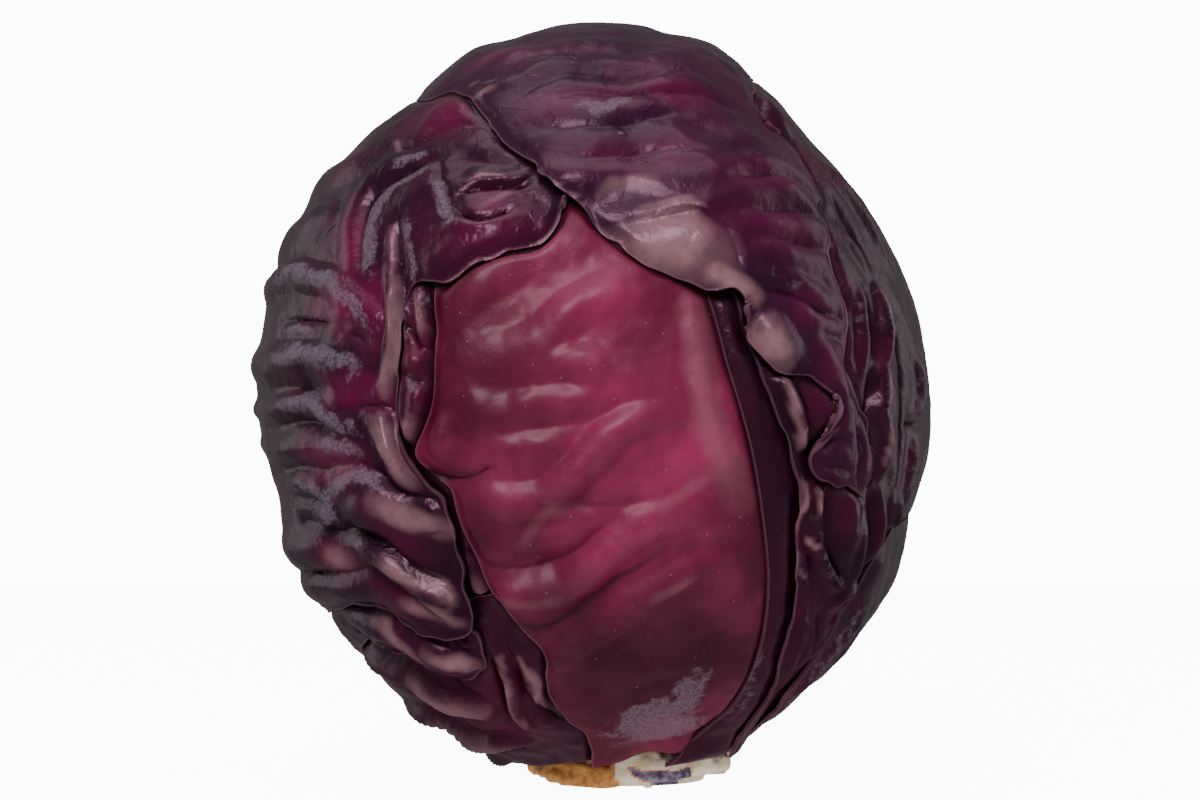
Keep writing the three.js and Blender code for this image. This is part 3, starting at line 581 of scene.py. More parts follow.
# %% Leaf by the stump on the right
leaf_foot_right = {
    "name": "leaf_foot_right",
    "grain": UPRIGHT,
    "notch": 0.3,
    "sink": 1.95,
    "cell": CELL["smooth"],
    "fine_u": (-1.0, 0.5),
    "fine_v": WHOLE,
    "margin": line(
        beside(82), (30, 19.5), (34, 24.5), (38.5, 30), (42, 35.5), (46, 41.5), (50, 48), (53.5, 53),
        (57, 55.5), around(92, 60), around(108, 66), around(124, 66),
    ),
    "rib": line(beside(116), around(112, 20), around(106, 36), around(108, 54), around(126, 64)),
    "far_margin": line(beside(150), around(150, 20), around(152, 36), around(148, 50), around(138, 60)),
    "folds": [
        ridge(2, 1.6, (33, 20.5), (38, 26), (44, 33), (49, 40)),
        crease(0.6, 1.2, (34, 19.5), (40, 26), (46, 33)),
        ridge(2.4, 1.4, (38, 22), (44, 28), (49, 36)),
        ridge(1.8, 1.4, (28, 16), (30, 18)),
    ],
}

# %% [markdown]
# The outermost leaf comes from the back over the crown and down the front. Its end is rolled into a
# pouch and a curl.

# %% The top leaf
leaf_top = {
    "name": "leaf_top",
    "crinkle": 0.25,
    "notch": 0.8,
    "sinks": [(-46, 155, 20, 2.0, 0.9), (24, 150, 9, 1.2, 0.5), (21, 106, 7, 1.0, 0.0)],
    "cell": CELL["wide"],
    "fine_u": WHOLE,
    "fine_v": (0.46, 2.0),
    "margin": line(
        beside(-148), around(-158, 22), around(-158, 52), around(-152, 86), around(-140, 118),
        around(-124, 144), around(-106, 151), (-49, 153.2), (-44, 154.6), (-39.4, 153), (-36.4, 149.4),
        (-33.4, 145.4), (-29.4, 141.2), (-24.4, 137.6), (-21.4, 133.4), (-16.8, 130), (-12.6, 127.4),
        (-10, 123.6), (-4, 118.7), (3, 114), (10, 111), (16.5, 107.4), (20.4, 107.6), (22.8, 104),
        (22.6, 99.6), (24, 95.4), (28.3, 90.9), (33, 89.4), (37.6, 88.2), (41, 84.8), (42.6, 81.4),
        (40.6, 78), (37.2, 75), (35.2, 70.4), (37, 66.8), (42.6, 65.4),
    ),
    "rib": line(
        beside(-174), around(-176, 50), around(179, 92), around(176, 132), around(176, 156), (-9, 165),
        (3, 151), (13, 135), (23, 121), (31, 108), (35.5, 97), (41, 88.4), (45.4, 81.2), (44.6, 73.6),
        (45, 65),
    ),
    "far_margin": line(
        beside(160), around(164, 50), around(158, 92), around(146, 128), around(122, 150),
        around(98, 154), (28, 147.5), (34, 143), (38, 137), (41, 131), (40.5, 126), (42, 120.5),
        (42, 116), (44, 109), (45.8, 102), (45, 93), (46.6, 86), (49.6, 78.6), (50.6, 72.4),
        (49.8, 66.6), (47.6, 63),
    ),
    "folds": [
        dune(7, 1.6, (-42, 157), (-30, 161), (-16, 164), (-2, 165)),
        dune(4, 1.6, (10, 161), (0, 160.4), (-12, 159.6), (-20, 158), (-25, 156), (-32, 154), (-38, 153)),
        crease(0.9, 1.4, (-26, 152), (-20, 154.8), (-10, 156.5), (0, 157.3), (10, 157.2)),
        dune(5, 1.1, (-14, 154), (0, 155), (10, 155.2), (17, 153.6), (22, 150.6)),
        crease(0.9, 1.3, (-18, 151.5), (-8, 152.2), (2, 152.8), (10, 152.8), (15, 151.8), (20, 149)),
        dune(5, 1.1, (-30, 146.5), (-18, 148.5), (-8, 149.6), (2, 149.8), (12, 149)),
        dune(4, 0.9, (5, 145.4), (12, 146), (18, 147.2), (26, 146)),
        crease(0.9, 1.0, (-22, 144.6), (-12, 145.4), (-2, 146), (6, 147)),
        dune(5, 1.1, (-24, 141), (-14, 141.8), (-4, 143), (6, 142.4), (16, 140.6)),
        crease(0.9, 1.0, (-18, 137.6), (-8, 138), (2, 138.6), (13, 138)),
        dune(5, 1.2, (14, 139), (22, 140.6), (30, 140.4), (36, 138)),
        dune(5, 1.5, (-18, 133.4), (-10, 132.4), (-3, 133.4), (4, 132), (10, 130.4)),
        dune(4.5, 1.4, (12, 132.6), (20, 134.8), (28, 136.4), (35, 135.6), (40, 132.4)),
        crease(0.9, 1.4, (18, 131.6), (25, 133), (31, 133.2), (36, 132.4), (40, 129.6)),
        dune(4.5, 1.4, (16, 127), (24, 129.2), (32, 129.8), (40, 127.4)),
        crease(0.9, 1.4, (20, 124.2), (28, 125.4), (35, 125.4), (41, 123)),
        dune(4.5, 1.4, (20, 121), (29, 122.4), (39, 120.6)),
        crease(0.9, 1.2, (22, 117.6), (28, 118.2), (34, 118.2), (41, 116)),
        dune(4.5, 1.4, (22, 113.6), (32, 114.6), (42, 112)),
        lip(5, 0.8, 1.4, (-8, 122.6), (-2, 124), (3, 124.2), (10, 125), (16, 124.2), (19, 124.8)),
        dune(7, 1.8, (-6, 119), (3, 118.4), (10, 118), (17, 116)),
        crease(0.9, 1.2, (17.6, 119.5), (19.4, 116), (20.6, 111.6)),
        dune(3.6, 1.5, (23, 110), (30, 109.4), (36, 106.8), (44, 104.6)),
        crease(0.9, 1.6, (25, 107.2), (30, 106.4), (36, 103.6), (44, 101.6)),
        ridge(4.6, 2.6, (25.8, 101.4), (28, 97), (31.4, 92)),
        dune(3.6, 1.1, (33, 100), (39, 100), (44, 100)),
        crease(0.9, 1.2, (37, 98.4), (41, 97.4), (44.6, 97.6)),
        dune(4, 1.1, (35, 94.6), (40, 92), (43.4, 88)),
        dune(3.4, 1.1, (40, 86), (45, 86.6)),
        ridge(1.1, 1.7, (35.8, 70.4), (38, 75), (42, 77.4), (45, 79.6)),
        crease(0.8, 1.5, (37.6, 71.4), (39.6, 74.4), (43, 75.6)),
        ridge(1.0, 1.2, (38.6, 70.6), (40.7, 73), (43.4, 73.6)),
        ridge(1.1, 1.6, (36.6, 68.4), (39.4, 67.2), (43.8, 67.4)),
        crease(0.7, 1.2, (37.4, 69.6), (41, 69.6), (44, 69.4)),
        crease(0.7, 1.0, (46, 79), (46.8, 73), (46, 67)),
        dune(2.4, 1.2, (48, 77), (48.6, 72), (48, 67)),
        ring(-12.2, 127.6, 2.0, 1.1, 1.8),
    ],
}

# %% [markdown]
# The leaf at the back was never in front of the camera, so no fold of it is traced.

# %% The back leaf
leaf_back = {
    "name": "leaf_back",
    "cell": CELL["plain"],
    "fine_u": WHOLE,
    "fine_v": WHOLE,
    "margin": line(
        beside(-126), around(-130, 24), around(-124, 44), around(-126, 66), around(-136, 90),
        around(-152, 110), around(-168, 122),
    ),
    "rib": line(beside(-170), around(-172, 24), around(-170, 60), around(-172, 92), around(-176, 124)),
    "far_margin": line(
        beside(142), around(148, 24), around(146, 46), around(150, 70), around(158, 94),
        around(170, 114), around(178, 124),
    ),
    "folds": [],
}

# %% [markdown]
# The order of this list is the order in which the leaves lie over each other, from the inside out.

# %% All the leaves
LEAVES = [
    leaf_inner_left, leaf_foot_left, leaf_centre, leaf_low_left, leaf_inner_right,
    leaf_left, leaf_right, leaf_foot_right, leaf_top, leaf_back,
]
print(len(LEAVES), "leaves with", sum(len(leaf["folds"]) for leaf in LEAVES), "traced folds")

# %% [markdown]
# Two measures say where a place lies on a leaf: how far it is outside the leaf's outline, and how near it
# is to each fold. The outline is closed over the head, so the inside test is made on a flat map round the
# leaf's middle.

# %% Measuring over the head
OUTLINE_STEP = 1.6
END_STEPS = 25
CHUNK = 6000


def lay_out(leaf):
    """Adds to a leaf its outline, its size and a flat map round its middle."""
    sides = ("margin", "rib", "far_margin")
    lengths = [smooth_line(leaf[side], 4)[1] for side in sides]
    even = []
    for side, length in zip(sides, lengths):
        even.append(smooth_line(leaf[side], max(8, int(length / OUTLINE_STEP)))[0])
    tip = [point_on([curve[-1:] for curve in even], u) for u in np.linspace(0, 1, END_STEPS)[1:-1]]
    foot = [point_on([curve[:1] for curve in even], u) for u in np.linspace(1, 0, END_STEPS)[1:-1]]
    rim = np.vstack([even[0]] + tip + [even[2][::-1]] + foot)
    rim /= np.linalg.norm(rim, axis=1, keepdims=True)
    leaf["outline"] = rim
    leaf["outline_points"] = rim * heart_radius(rim)[:, None]
    middle = rim.mean(axis=0)
    middle /= np.linalg.norm(middle)
    right = np.cross([0, 0, 1.0], middle)
    right /= np.linalg.norm(right)
    leaf["map_axes"] = (middle, right, np.cross(middle, right))
    leaf["map"] = flat_map(leaf, rim)
    leaf["spread"] = np.arccos(np.clip(rim @ middle, -1, 1)).max()
    long_lines = [smooth_line(leaf[side], 25)[0] for side in sides]
    across = np.stack([point_on(long_lines, u) for u in np.linspace(0, 1, 13)])
    leaf["length"] = max(lengths)
    leaf["width"] = HEART_HALF_WIDTH * np.linalg.norm(np.diff(across, axis=0), axis=2).sum(axis=0).max()


def point_on(sides, u):
    """Directions between the two margins: u is 0 on the first, half on the rib and 1 on the other."""
    d = sides[0] * (1 - u) * (1 - 2 * u) + sides[1] * 4 * u * (1 - u) + sides[2] * u * (2 * u - 1)
    return d / np.linalg.norm(d, axis=1, keepdims=True)


def flat_map(leaf, d):
    middle, right, up = leaf["map_axes"]
    x, y = d @ right, d @ up
    angle = np.arccos(np.clip(d @ middle, -1, 1))
    scale = angle / np.maximum(1e-9, np.hypot(x, y))
    return np.stack([x * scale, y * scale], axis=1)


def distance_to_segment(p, a, b):
    along = b - a
    length_squared = np.maximum(1e-12, np.sum(along * along, axis=-1))
    share = np.clip(np.sum((p - a) * along, axis=-1) / length_squared, 0, 1)
    return np.linalg.norm(p - a - along * share[..., None], axis=-1), share


def inside_outline(leaf, d):
    xy = flat_map(leaf, d)
    a = leaf["map"]
    b = np.roll(a, -1, axis=0)
    slope = (b[:, 0] - a[:, 0]) / np.where(b[:, 1] == a[:, 1], 1e-12, b[:, 1] - a[:, 1])
    inside = np.zeros(len(d), bool)
    for start in range(0, len(d), CHUNK):
        x, y = xy[start : start + CHUNK, :1], xy[start : start + CHUNK, 1:]
        crossing = (a[:, 1] > y) != (b[:, 1] > y)
        left_of = x < slope * (y - a[:, 1]) + a[:, 0]
        inside[start : start + CHUNK] = (crossing & left_of).sum(axis=1) % 2 == 1
    return inside


FAR_AWAY = 30.0


def outside_of(leaf, d):
    """How far outside a leaf's outline each direction is, in millimetres. It is negative inside."""
    result = np.full(len(d), FAR_AWAY)
    close = np.arccos(np.clip(d @ leaf["map_axes"][0], -1,
        1)) < leaf["spread"] + FAR_AWAY / HEART_HALF_DEPTH
    if not close.any():
        return result
    chosen = d[close]
    nearest = np.empty(len(chosen), int)
    rim32 = leaf["outline"].astype(np.float32).T
    for start in range(0, len(chosen), CHUNK):
        part = chosen[start : start + CHUNK].astype(np.float32)
        nearest[start : start + CHUNK] = (part @ rim32).argmax(axis=1)
    points = leaf["outline_points"]
    p = chosen * heart_radius(chosen)[:, None]
    here, before, after = points[nearest], points[nearest - 1], points[(nearest + 1) % len(points)]
    distance = np.minimum(distance_to_segment(p, before, here)[0], distance_to_segment(p, here, after)[0])
    result[close] = np.where(inside_outline(leaf, chosen), -distance, distance)
    return result


def soft_step(low, high, value):
    t = np.clip((value - low) / (high - low), 0, 1)
    return t * t * (3 - 2 * t)


for leaf in LEAVES:
    lay_out(leaf)
print("length and width in mm:",
    {leaf["name"]: (round(leaf["length"]), round(leaf["width"])) for leaf in LEAVES})

# %% [markdown]
# Nothing in a leaf is perfectly even. A smooth noise bends the folds and swells the surface between them.
# It is worked out from a hashed lattice of points, so that it is the same in each run.

# %% Noise in space
def lattice_value(cell, seed):
    n = (cell[..., 0] * 374761393 + cell[..., 1] * 668265263 + cell[...,
        2] * 2147483647 + seed * 1274126177)
    n = (n ^ (n >> 13)) * 1274126177
    return ((n ^ (n >> 16)) & 0xFFFF) / 0x7FFF - 1.0


def noise(p, size, seed=0):
    """Smooth noise from -1 to 1 with features of a size in millimetres."""
    q = p / size + 1000.0
    base = np.floor(q).astype(np.int64)
    f = q - base
    f = f * f * f * (f * (f * 6 - 15) + 10)
    total = np.zeros(p.shape[:-1])
    for corner in range(8):
        step = np.array([corner & 1, corner >> 1 & 1, corner >> 2 & 1])
        weight = np.prod(np.where(step, f, 1 - f), axis=-1)
        total += weight * lattice_value(base + step, seed)
    return total


def noise_vector(p, size, seed=0):
    return np.stack([noise(p, size, seed + k) for k in range(3)], axis=-1)


# %% [markdown]
# The folds of one leaf are joined by the largest height at each place, which leaves a crease where two of
# them meet. A round maximum keeps those creases from being knife cuts. Creases that were traced are then
# cut in.

# %% The relief of a leaf
WANDER = 0.9
WANDER_SIZE = 13.0
SMALL_WANDER = 0.3
SMALL_WANDER_SIZE = 5.0
BLEND = 0.7
FOLD_POINT_STEP = 2.5
TAPER = 0.55


def trace(fold):
    _, length = smooth_line(line(*fold["places"]), 4)
    curve, _ = smooth_line(line(*fold["places"]), max(4, int(length / FOLD_POINT_STEP)))
    return curve


def fold_height(p, fold):
    """The height of one fold at points of the smooth heart."""
    curve = trace(fold)
    widest = max(fold["left"], fold["right"])
    middle = curve.mean(axis=0)
    reach = np.linalg.norm(curve - middle, axis=1).max() + widest
    height = np.zeros(len(p))
    near = np.flatnonzero(np.linalg.norm(p - middle, axis=1) < reach)
    if not len(near):
        return height
    q = p[near]
    best = np.full(len(q), 1e9)
    share = np.zeros(len(q))
    side = np.zeros(len(q))
    for i in range(len(curve) - 1):
        distance, along = distance_to_segment(q, curve[i], curve[i + 1])
        closer = distance < best
        best[closer] = distance[closer]
        share[closer] = (i + along[closer]) / (len(curve) - 1)
        if fold["left"] != fold["right"]:
            turn = np.sum(np.cross(curve[i + 1] - curve[i], q - curve[i]) * q, axis=1)
            side[closer] = turn[closer]
    width = np.where(side > 0, fold["left"], fold["right"])
    t = np.clip(best / width, 0, 1)
    taper = 1 - TAPER * np.abs(2 * share - 1) ** 3
    height[near] = abs(fold["height"]) * (1 - t * t) ** fold["power"] * taper
    return height


def round_max(a, b, blend=BLEND):
    mix = np.clip(0.5 + 0.5 * (a - b) / blend, 0, 1)
    return b + (a - b) * mix + blend * mix * (1 - mix)


VALLEY_WIDTH = 2.4
VALLEY_SHARE = 0.4
SWELL_SIZE = 15.0
SWELL_OF_LEAF = 0.6
SWELL_OF_FOLD = 0.4
CRINKLE = 0.35
CRINKLE_SIZE = 5.5


def relief(leaf, p):
    """Height of a leaf's traced folds at points of the heart, and how deep the creases cut into them."""
    wander = p + WANDER * noise_vector(p, WANDER_SIZE, 11)
    wander += SMALL_WANDER * noise_vector(p, SMALL_WANDER_SIZE, 17)
    swell = 0.5 + 0.5 * noise(p, SWELL_SIZE, 5)
    height = SWELL_OF_LEAF * swell
    cut = np.zeros(len(p))
    for one in leaf["folds"]:
        own = fold_height(wander, one)
        if one["height"] > 0:
            height = round_max(height, own + SWELL_OF_FOLD * swell)
        else:
            left, right = one["left"] * VALLEY_WIDTH, one["right"] * VALLEY_WIDTH
            valley = fold_height(wander, fold(left, right, one["height"], CREASE_POWER, one["places"]))
            cut = np.maximum(cut, (1 - VALLEY_SHARE) * own + VALLEY_SHARE * valley)
    small = 0.2 * noise(p, 4.2, 6) + 0.1 * noise(p, 2.1, 8)
    return height + small + crinkles(leaf, p), cut


def crinkles(leaf, p):
    """Fine wrinkles that run along the folds."""
    q = (p + 2.0 * noise_vector(p, 9.0, 19)) * leaf.get("grain", LYING)
    lines = 1 - 2 * np.abs(noise(q, CRINKLE_SIZE, 21)) ** 0.7
    return leaf.get("crinkle", CRINKLE) * lines * soft_step(-0.5, 0.6, noise(p, 16.0, 23))


# %% [markdown]
# Behind the front nobody traced anything, so the folds there follow how a cabbage leaf grows. A thick rib
# runs up the middle, side veins branch off it towards both margins, and the leaf puffs up in pillows
# between them.

# %% Pillows and ribs at the back
VEIN_SPACING = 15.0
VEIN_RISE = 0.75
ROW_WIDTH = 19.0
RIB_HEIGHT = 2.6
RIB_FOOT_WIDTH = 9.0
RIB_TIP_WIDTH = 1.6


def grown_relief(leaf, p, u, v):
    """Pillows between the side veins, and the rib itself, in millimetres."""
    number = leaf["number"]
    across = (u - 0.5) * leaf["width"]
    along = v * leaf["length"]
    bend = 5.0 * noise(p, 24.0, 31 + number) + 1.6 * noise(p, 8.0, 41 + number)
    phase = (along - VEIN_RISE * np.abs(across) + bend) / VEIN_SPACING
    pillow = np.abs(np.sin(np.pi * phase)) ** 0.7
    cross = np.abs(np.sin(np.pi * (np.abs(across) / ROW_WIDTH + 0.25 * noise(p, 15.0, 51 + number)))) ** 0.6
    strength = 0.5 + 0.5 * noise(p, 30.0, 61 + number)
    pillows = (0.8 + 2.2 * strength) * (0.45 + 0.55 * cross) * pillow
    rib_width = RIB_FOOT_WIDTH * (1 - v) ** 0.8 + RIB_TIP_WIDTH
    rib = RIB_HEIGHT * (1 - v) ** 0.6 * np.exp(-((across / rib_width) ** 2) * 1.6)
    away = soft_step(0.0, 10.0, np.abs(across) - rib_width * 0.6)
    return round_max(pillows * away + 0.3, rib + 0.3) + crinkles(leaf, p), rib


# %% [markdown]
# Each leaf's grid is now laid over the head. Its cells are small where the leaf shows and larger where it
# doesn't. Near a leaf that lies over it the folds die away, so that the two leaves press together there. In
# the end the surface is pushed a little along its own slope, which swells the pillows and lets them lean
# over the creases.

# %% Laying a leaf over the head
DRAPE_OUTSIDE = 9.0
DRAPE_INSIDE = 2.5
FOLD_FREE_FROM = 0.4
FOLD_FREE_TO = 1.8
EDGE_WIDTH = 18.0
EDGE_SINK = 1.7
EDGE_LIFT = 0.35
NOTCH = 0.7
NOTCH_SIZE = 3.6
EDGE_LIP = 0.25
EDGE_LIP_WIDTH = 0.7
EDGE_FREE = 2.4
CONTACT = 0.9
FOOT_FLARE = 1.6
FOOT_REACH = 9.0
DUST_START = 1.2
DUST_BAND = 3.5
LEAF_THICKNESS = 0.8
PUFF = 0.7
PUFF_FROM_EDGE = 3.5
NOTCH_REACH = 4.0
RISE_AT_EDGE = 0.12
CUT_AT_EDGE = 0.2
FRONT_FROM = -0.05
FRONT_TO = 0.28
PLACE_CORE = 0.3
PROFILE_STEPS = 800
EASE = 0.08


def uneven_steps(length, cell, fine):
    """Shares of a length from 0 to 1, a cell apart within a fine range and wider outside it."""
    t = np.linspace(0, 1, PROFILE_STEPS)
    start, end = fine
    inside = soft_step(start - EASE, start + EASE, t)
    inside *= 1 - soft_step(end - EASE, end + EASE, t)
    density = length / (FAR_CELL + (cell - FAR_CELL) * inside)
    total = np.concatenate([[0], np.cumsum((density[1:] + density[:-1]) / 2 * np.diff(t))])
    return np.interp(np.linspace(0, total[-1], int(total[-1]) + 1), total, t)


def grid_shape(leaf):
    u = uneven_steps(leaf["width"], leaf["cell"], leaf["fine_u"])
    v = uneven_steps(leaf["length"], leaf["cell"], leaf["fine_v"])
    sides = []
    for side in ("margin", "rib", "far_margin"):
        even = smooth_line(leaf[side], 2 * len(v))[0]
        at = np.linspace(0, 1, len(even))
        sides.append(np.stack([np.interp(v, at, even[:, k]) for k in range(3)], axis=1))
    d = np.stack([point_on(sides, value) for value in u], axis=1)
    return d, np.broadcast_to(u, d.shape[:2]), np.broadcast_to(v[:, None], d.shape[:2])


def surface_normals(p):
    """Normals of a grid of points, pointing away from the heart."""
    along = np.gradient(p, axis=0)
    across = np.gradient(p, axis=1)
    n = np.cross(across, along)
    n /= np.maximum(1e-9, np.linalg.norm(n, axis=2, keepdims=True))
    outward = p - HEART_CENTRE
    return n * np.where(np.sum(n * outward, axis=2, keepdims=True) < 0, -1.0, 1.0)


def softened(field):
    """A field on the grid, averaged with its neighbours, so that no crease is too narrow for the cells."""
    padded = np.pad(field, 1, mode="edge")
    field = (padded[:-2, 1:-1] + 2 * padded[1:-1, 1:-1] + padded[2:, 1:-1]) / 4
    padded = np.pad(field, 1, mode="edge")
    return (padded[1:-1, :-2] + 2 * padded[1:-1, 1:-1] + padded[1:-1, 2:]) / 4


# %% [markdown]
# The height of each place is the sum of the layers under it, the leaf's own folds, the sink of its margin
# and the flare of its foot. The same sums tell the finish where crests, creases and contacts are.

# %% The height of a leaf
def near_place(p, x, z, radius):
    """1 round a place on the front, and 0 a radius away from it."""
    place = seen(x, z)
    away = np.linalg.norm(p - place * heart_radius(place), axis=1) / radius
    return 1 - soft_step(PLACE_CORE, 1.0, away)


def leaf_surface(number):
    """The points of a leaf's outer face on its grid, and what the finish needs to know of each point."""
    leaf = LEAVES[number]
    d, u, v = grid_shape(leaf)
    shape = u.shape
    flat = d.reshape(-1, 3)
    p = flat * heart_radius(flat)[:, None]
    outside = [outside_of(other, flat) for other in LEAVES]
    front = 1 - soft_step(FRONT_FROM, FRONT_TO, flat[:, 1])
    height = np.full(len(flat), LAYER_STEP)
    for k in range(number):
        height += LAYER_STEP * (1 - soft_step(-DRAPE_INSIDE, DRAPE_OUTSIDE, outside[k]))
    shows, contact = np.ones(len(flat)), np.full(len(flat), FAR_AWAY)
    for m in range(number + 1, len(LEAVES)):
        shows *= soft_step(FOLD_FREE_FROM, FOLD_FREE_TO, outside[m])
        contact = np.minimum(contact, np.maximum(0, outside[m]))
    traced, cut = relief(leaf, p)
    grown, rib = grown_relief(leaf, p, u.ravel(), v.ravel())
    own = traced * front * leaf.get("strength", 1.0) + grown * (1 - front)
    cut *= leaf.get("strength", 1.0)
    edge = np.maximum(0, -outside[number])
    tucked = 1 - (1 - np.clip(edge / EDGE_WIDTH, 0, 1)) ** 2
    curl = soft_step(0.0, 0.9, noise(p, 9.0, 71 + number))
    from_foot = v.ravel() * leaf["length"]
    sink = leaf.get("sink", EDGE_SINK) - EDGE_LIFT * curl
    for x, z, radius, place_sink, calm in leaf.get("sinks", []):
        here = near_place(p, x, z, radius)
        sink = sink + (place_sink - sink) * here
        own = own * (1 - calm * here)
    rim = sink * (1 - tucked) * soft_step(0, 2 * FOOT_REACH, from_foot)
    rim -= EDGE_LIP * np.exp(-((edge / EDGE_LIP_WIDTH) ** 2))
    free = soft_step(0, EDGE_FREE, edge)
    rise = own * (RISE_AT_EDGE + (1 - RISE_AT_EDGE) * free)
    fall = cut * (CUT_AT_EDGE + (1 - CUT_AT_EDGE) * free)
    raised = shows * (leaf.get("rise", 0.0) + rise - fall) - rim
    raised = softened(raised.reshape(shape)).ravel()
    flare = leaf.get("flare", FOOT_FLARE)
    for x, z, radius, place_flare in leaf.get("flares", []):
        flare = flare + (place_flare - flare) * near_place(p, x, z, radius)
    raised += flare * (1 - soft_step(0, FOOT_REACH, from_foot))
    notches = leaf.get("notch", NOTCH) * (1 - soft_step(0, NOTCH_REACH, edge)) / HEART_HALF_WIDTH
    flat = flat + noise_vector(p, NOTCH_SIZE, 81 + number) * notches[:, None]
    flat /= np.linalg.norm(flat, axis=1, keepdims=True)
    smooth_base = over_heart(flat, height).reshape(shape + (3,))
    full = over_heart(flat, height + raised).reshape(shape + (3,))
    swell = PUFF * shows * soft_step(0.8, PUFF_FROM_EDGE, edge)
    swollen = full + swell.reshape(shape + (1,)) * (surface_normals(full) - surface_normals(smooth_base))
    dust = soft_step(0.0, DUST_START, contact) * (1 - soft_step(DUST_START, DUST_BAND, contact))
    values = {
        "crest": shows * own,
        "cut": shows * cut,
        "edge": edge,
        "shows": shows,
        "rib": rib * (1 - front),
        "contact": 1 - soft_step(0.1, CONTACT, contact),
        "gathered": dust * front,
    }
    return swollen, {key: value.reshape(shape) for key, value in values.items()}
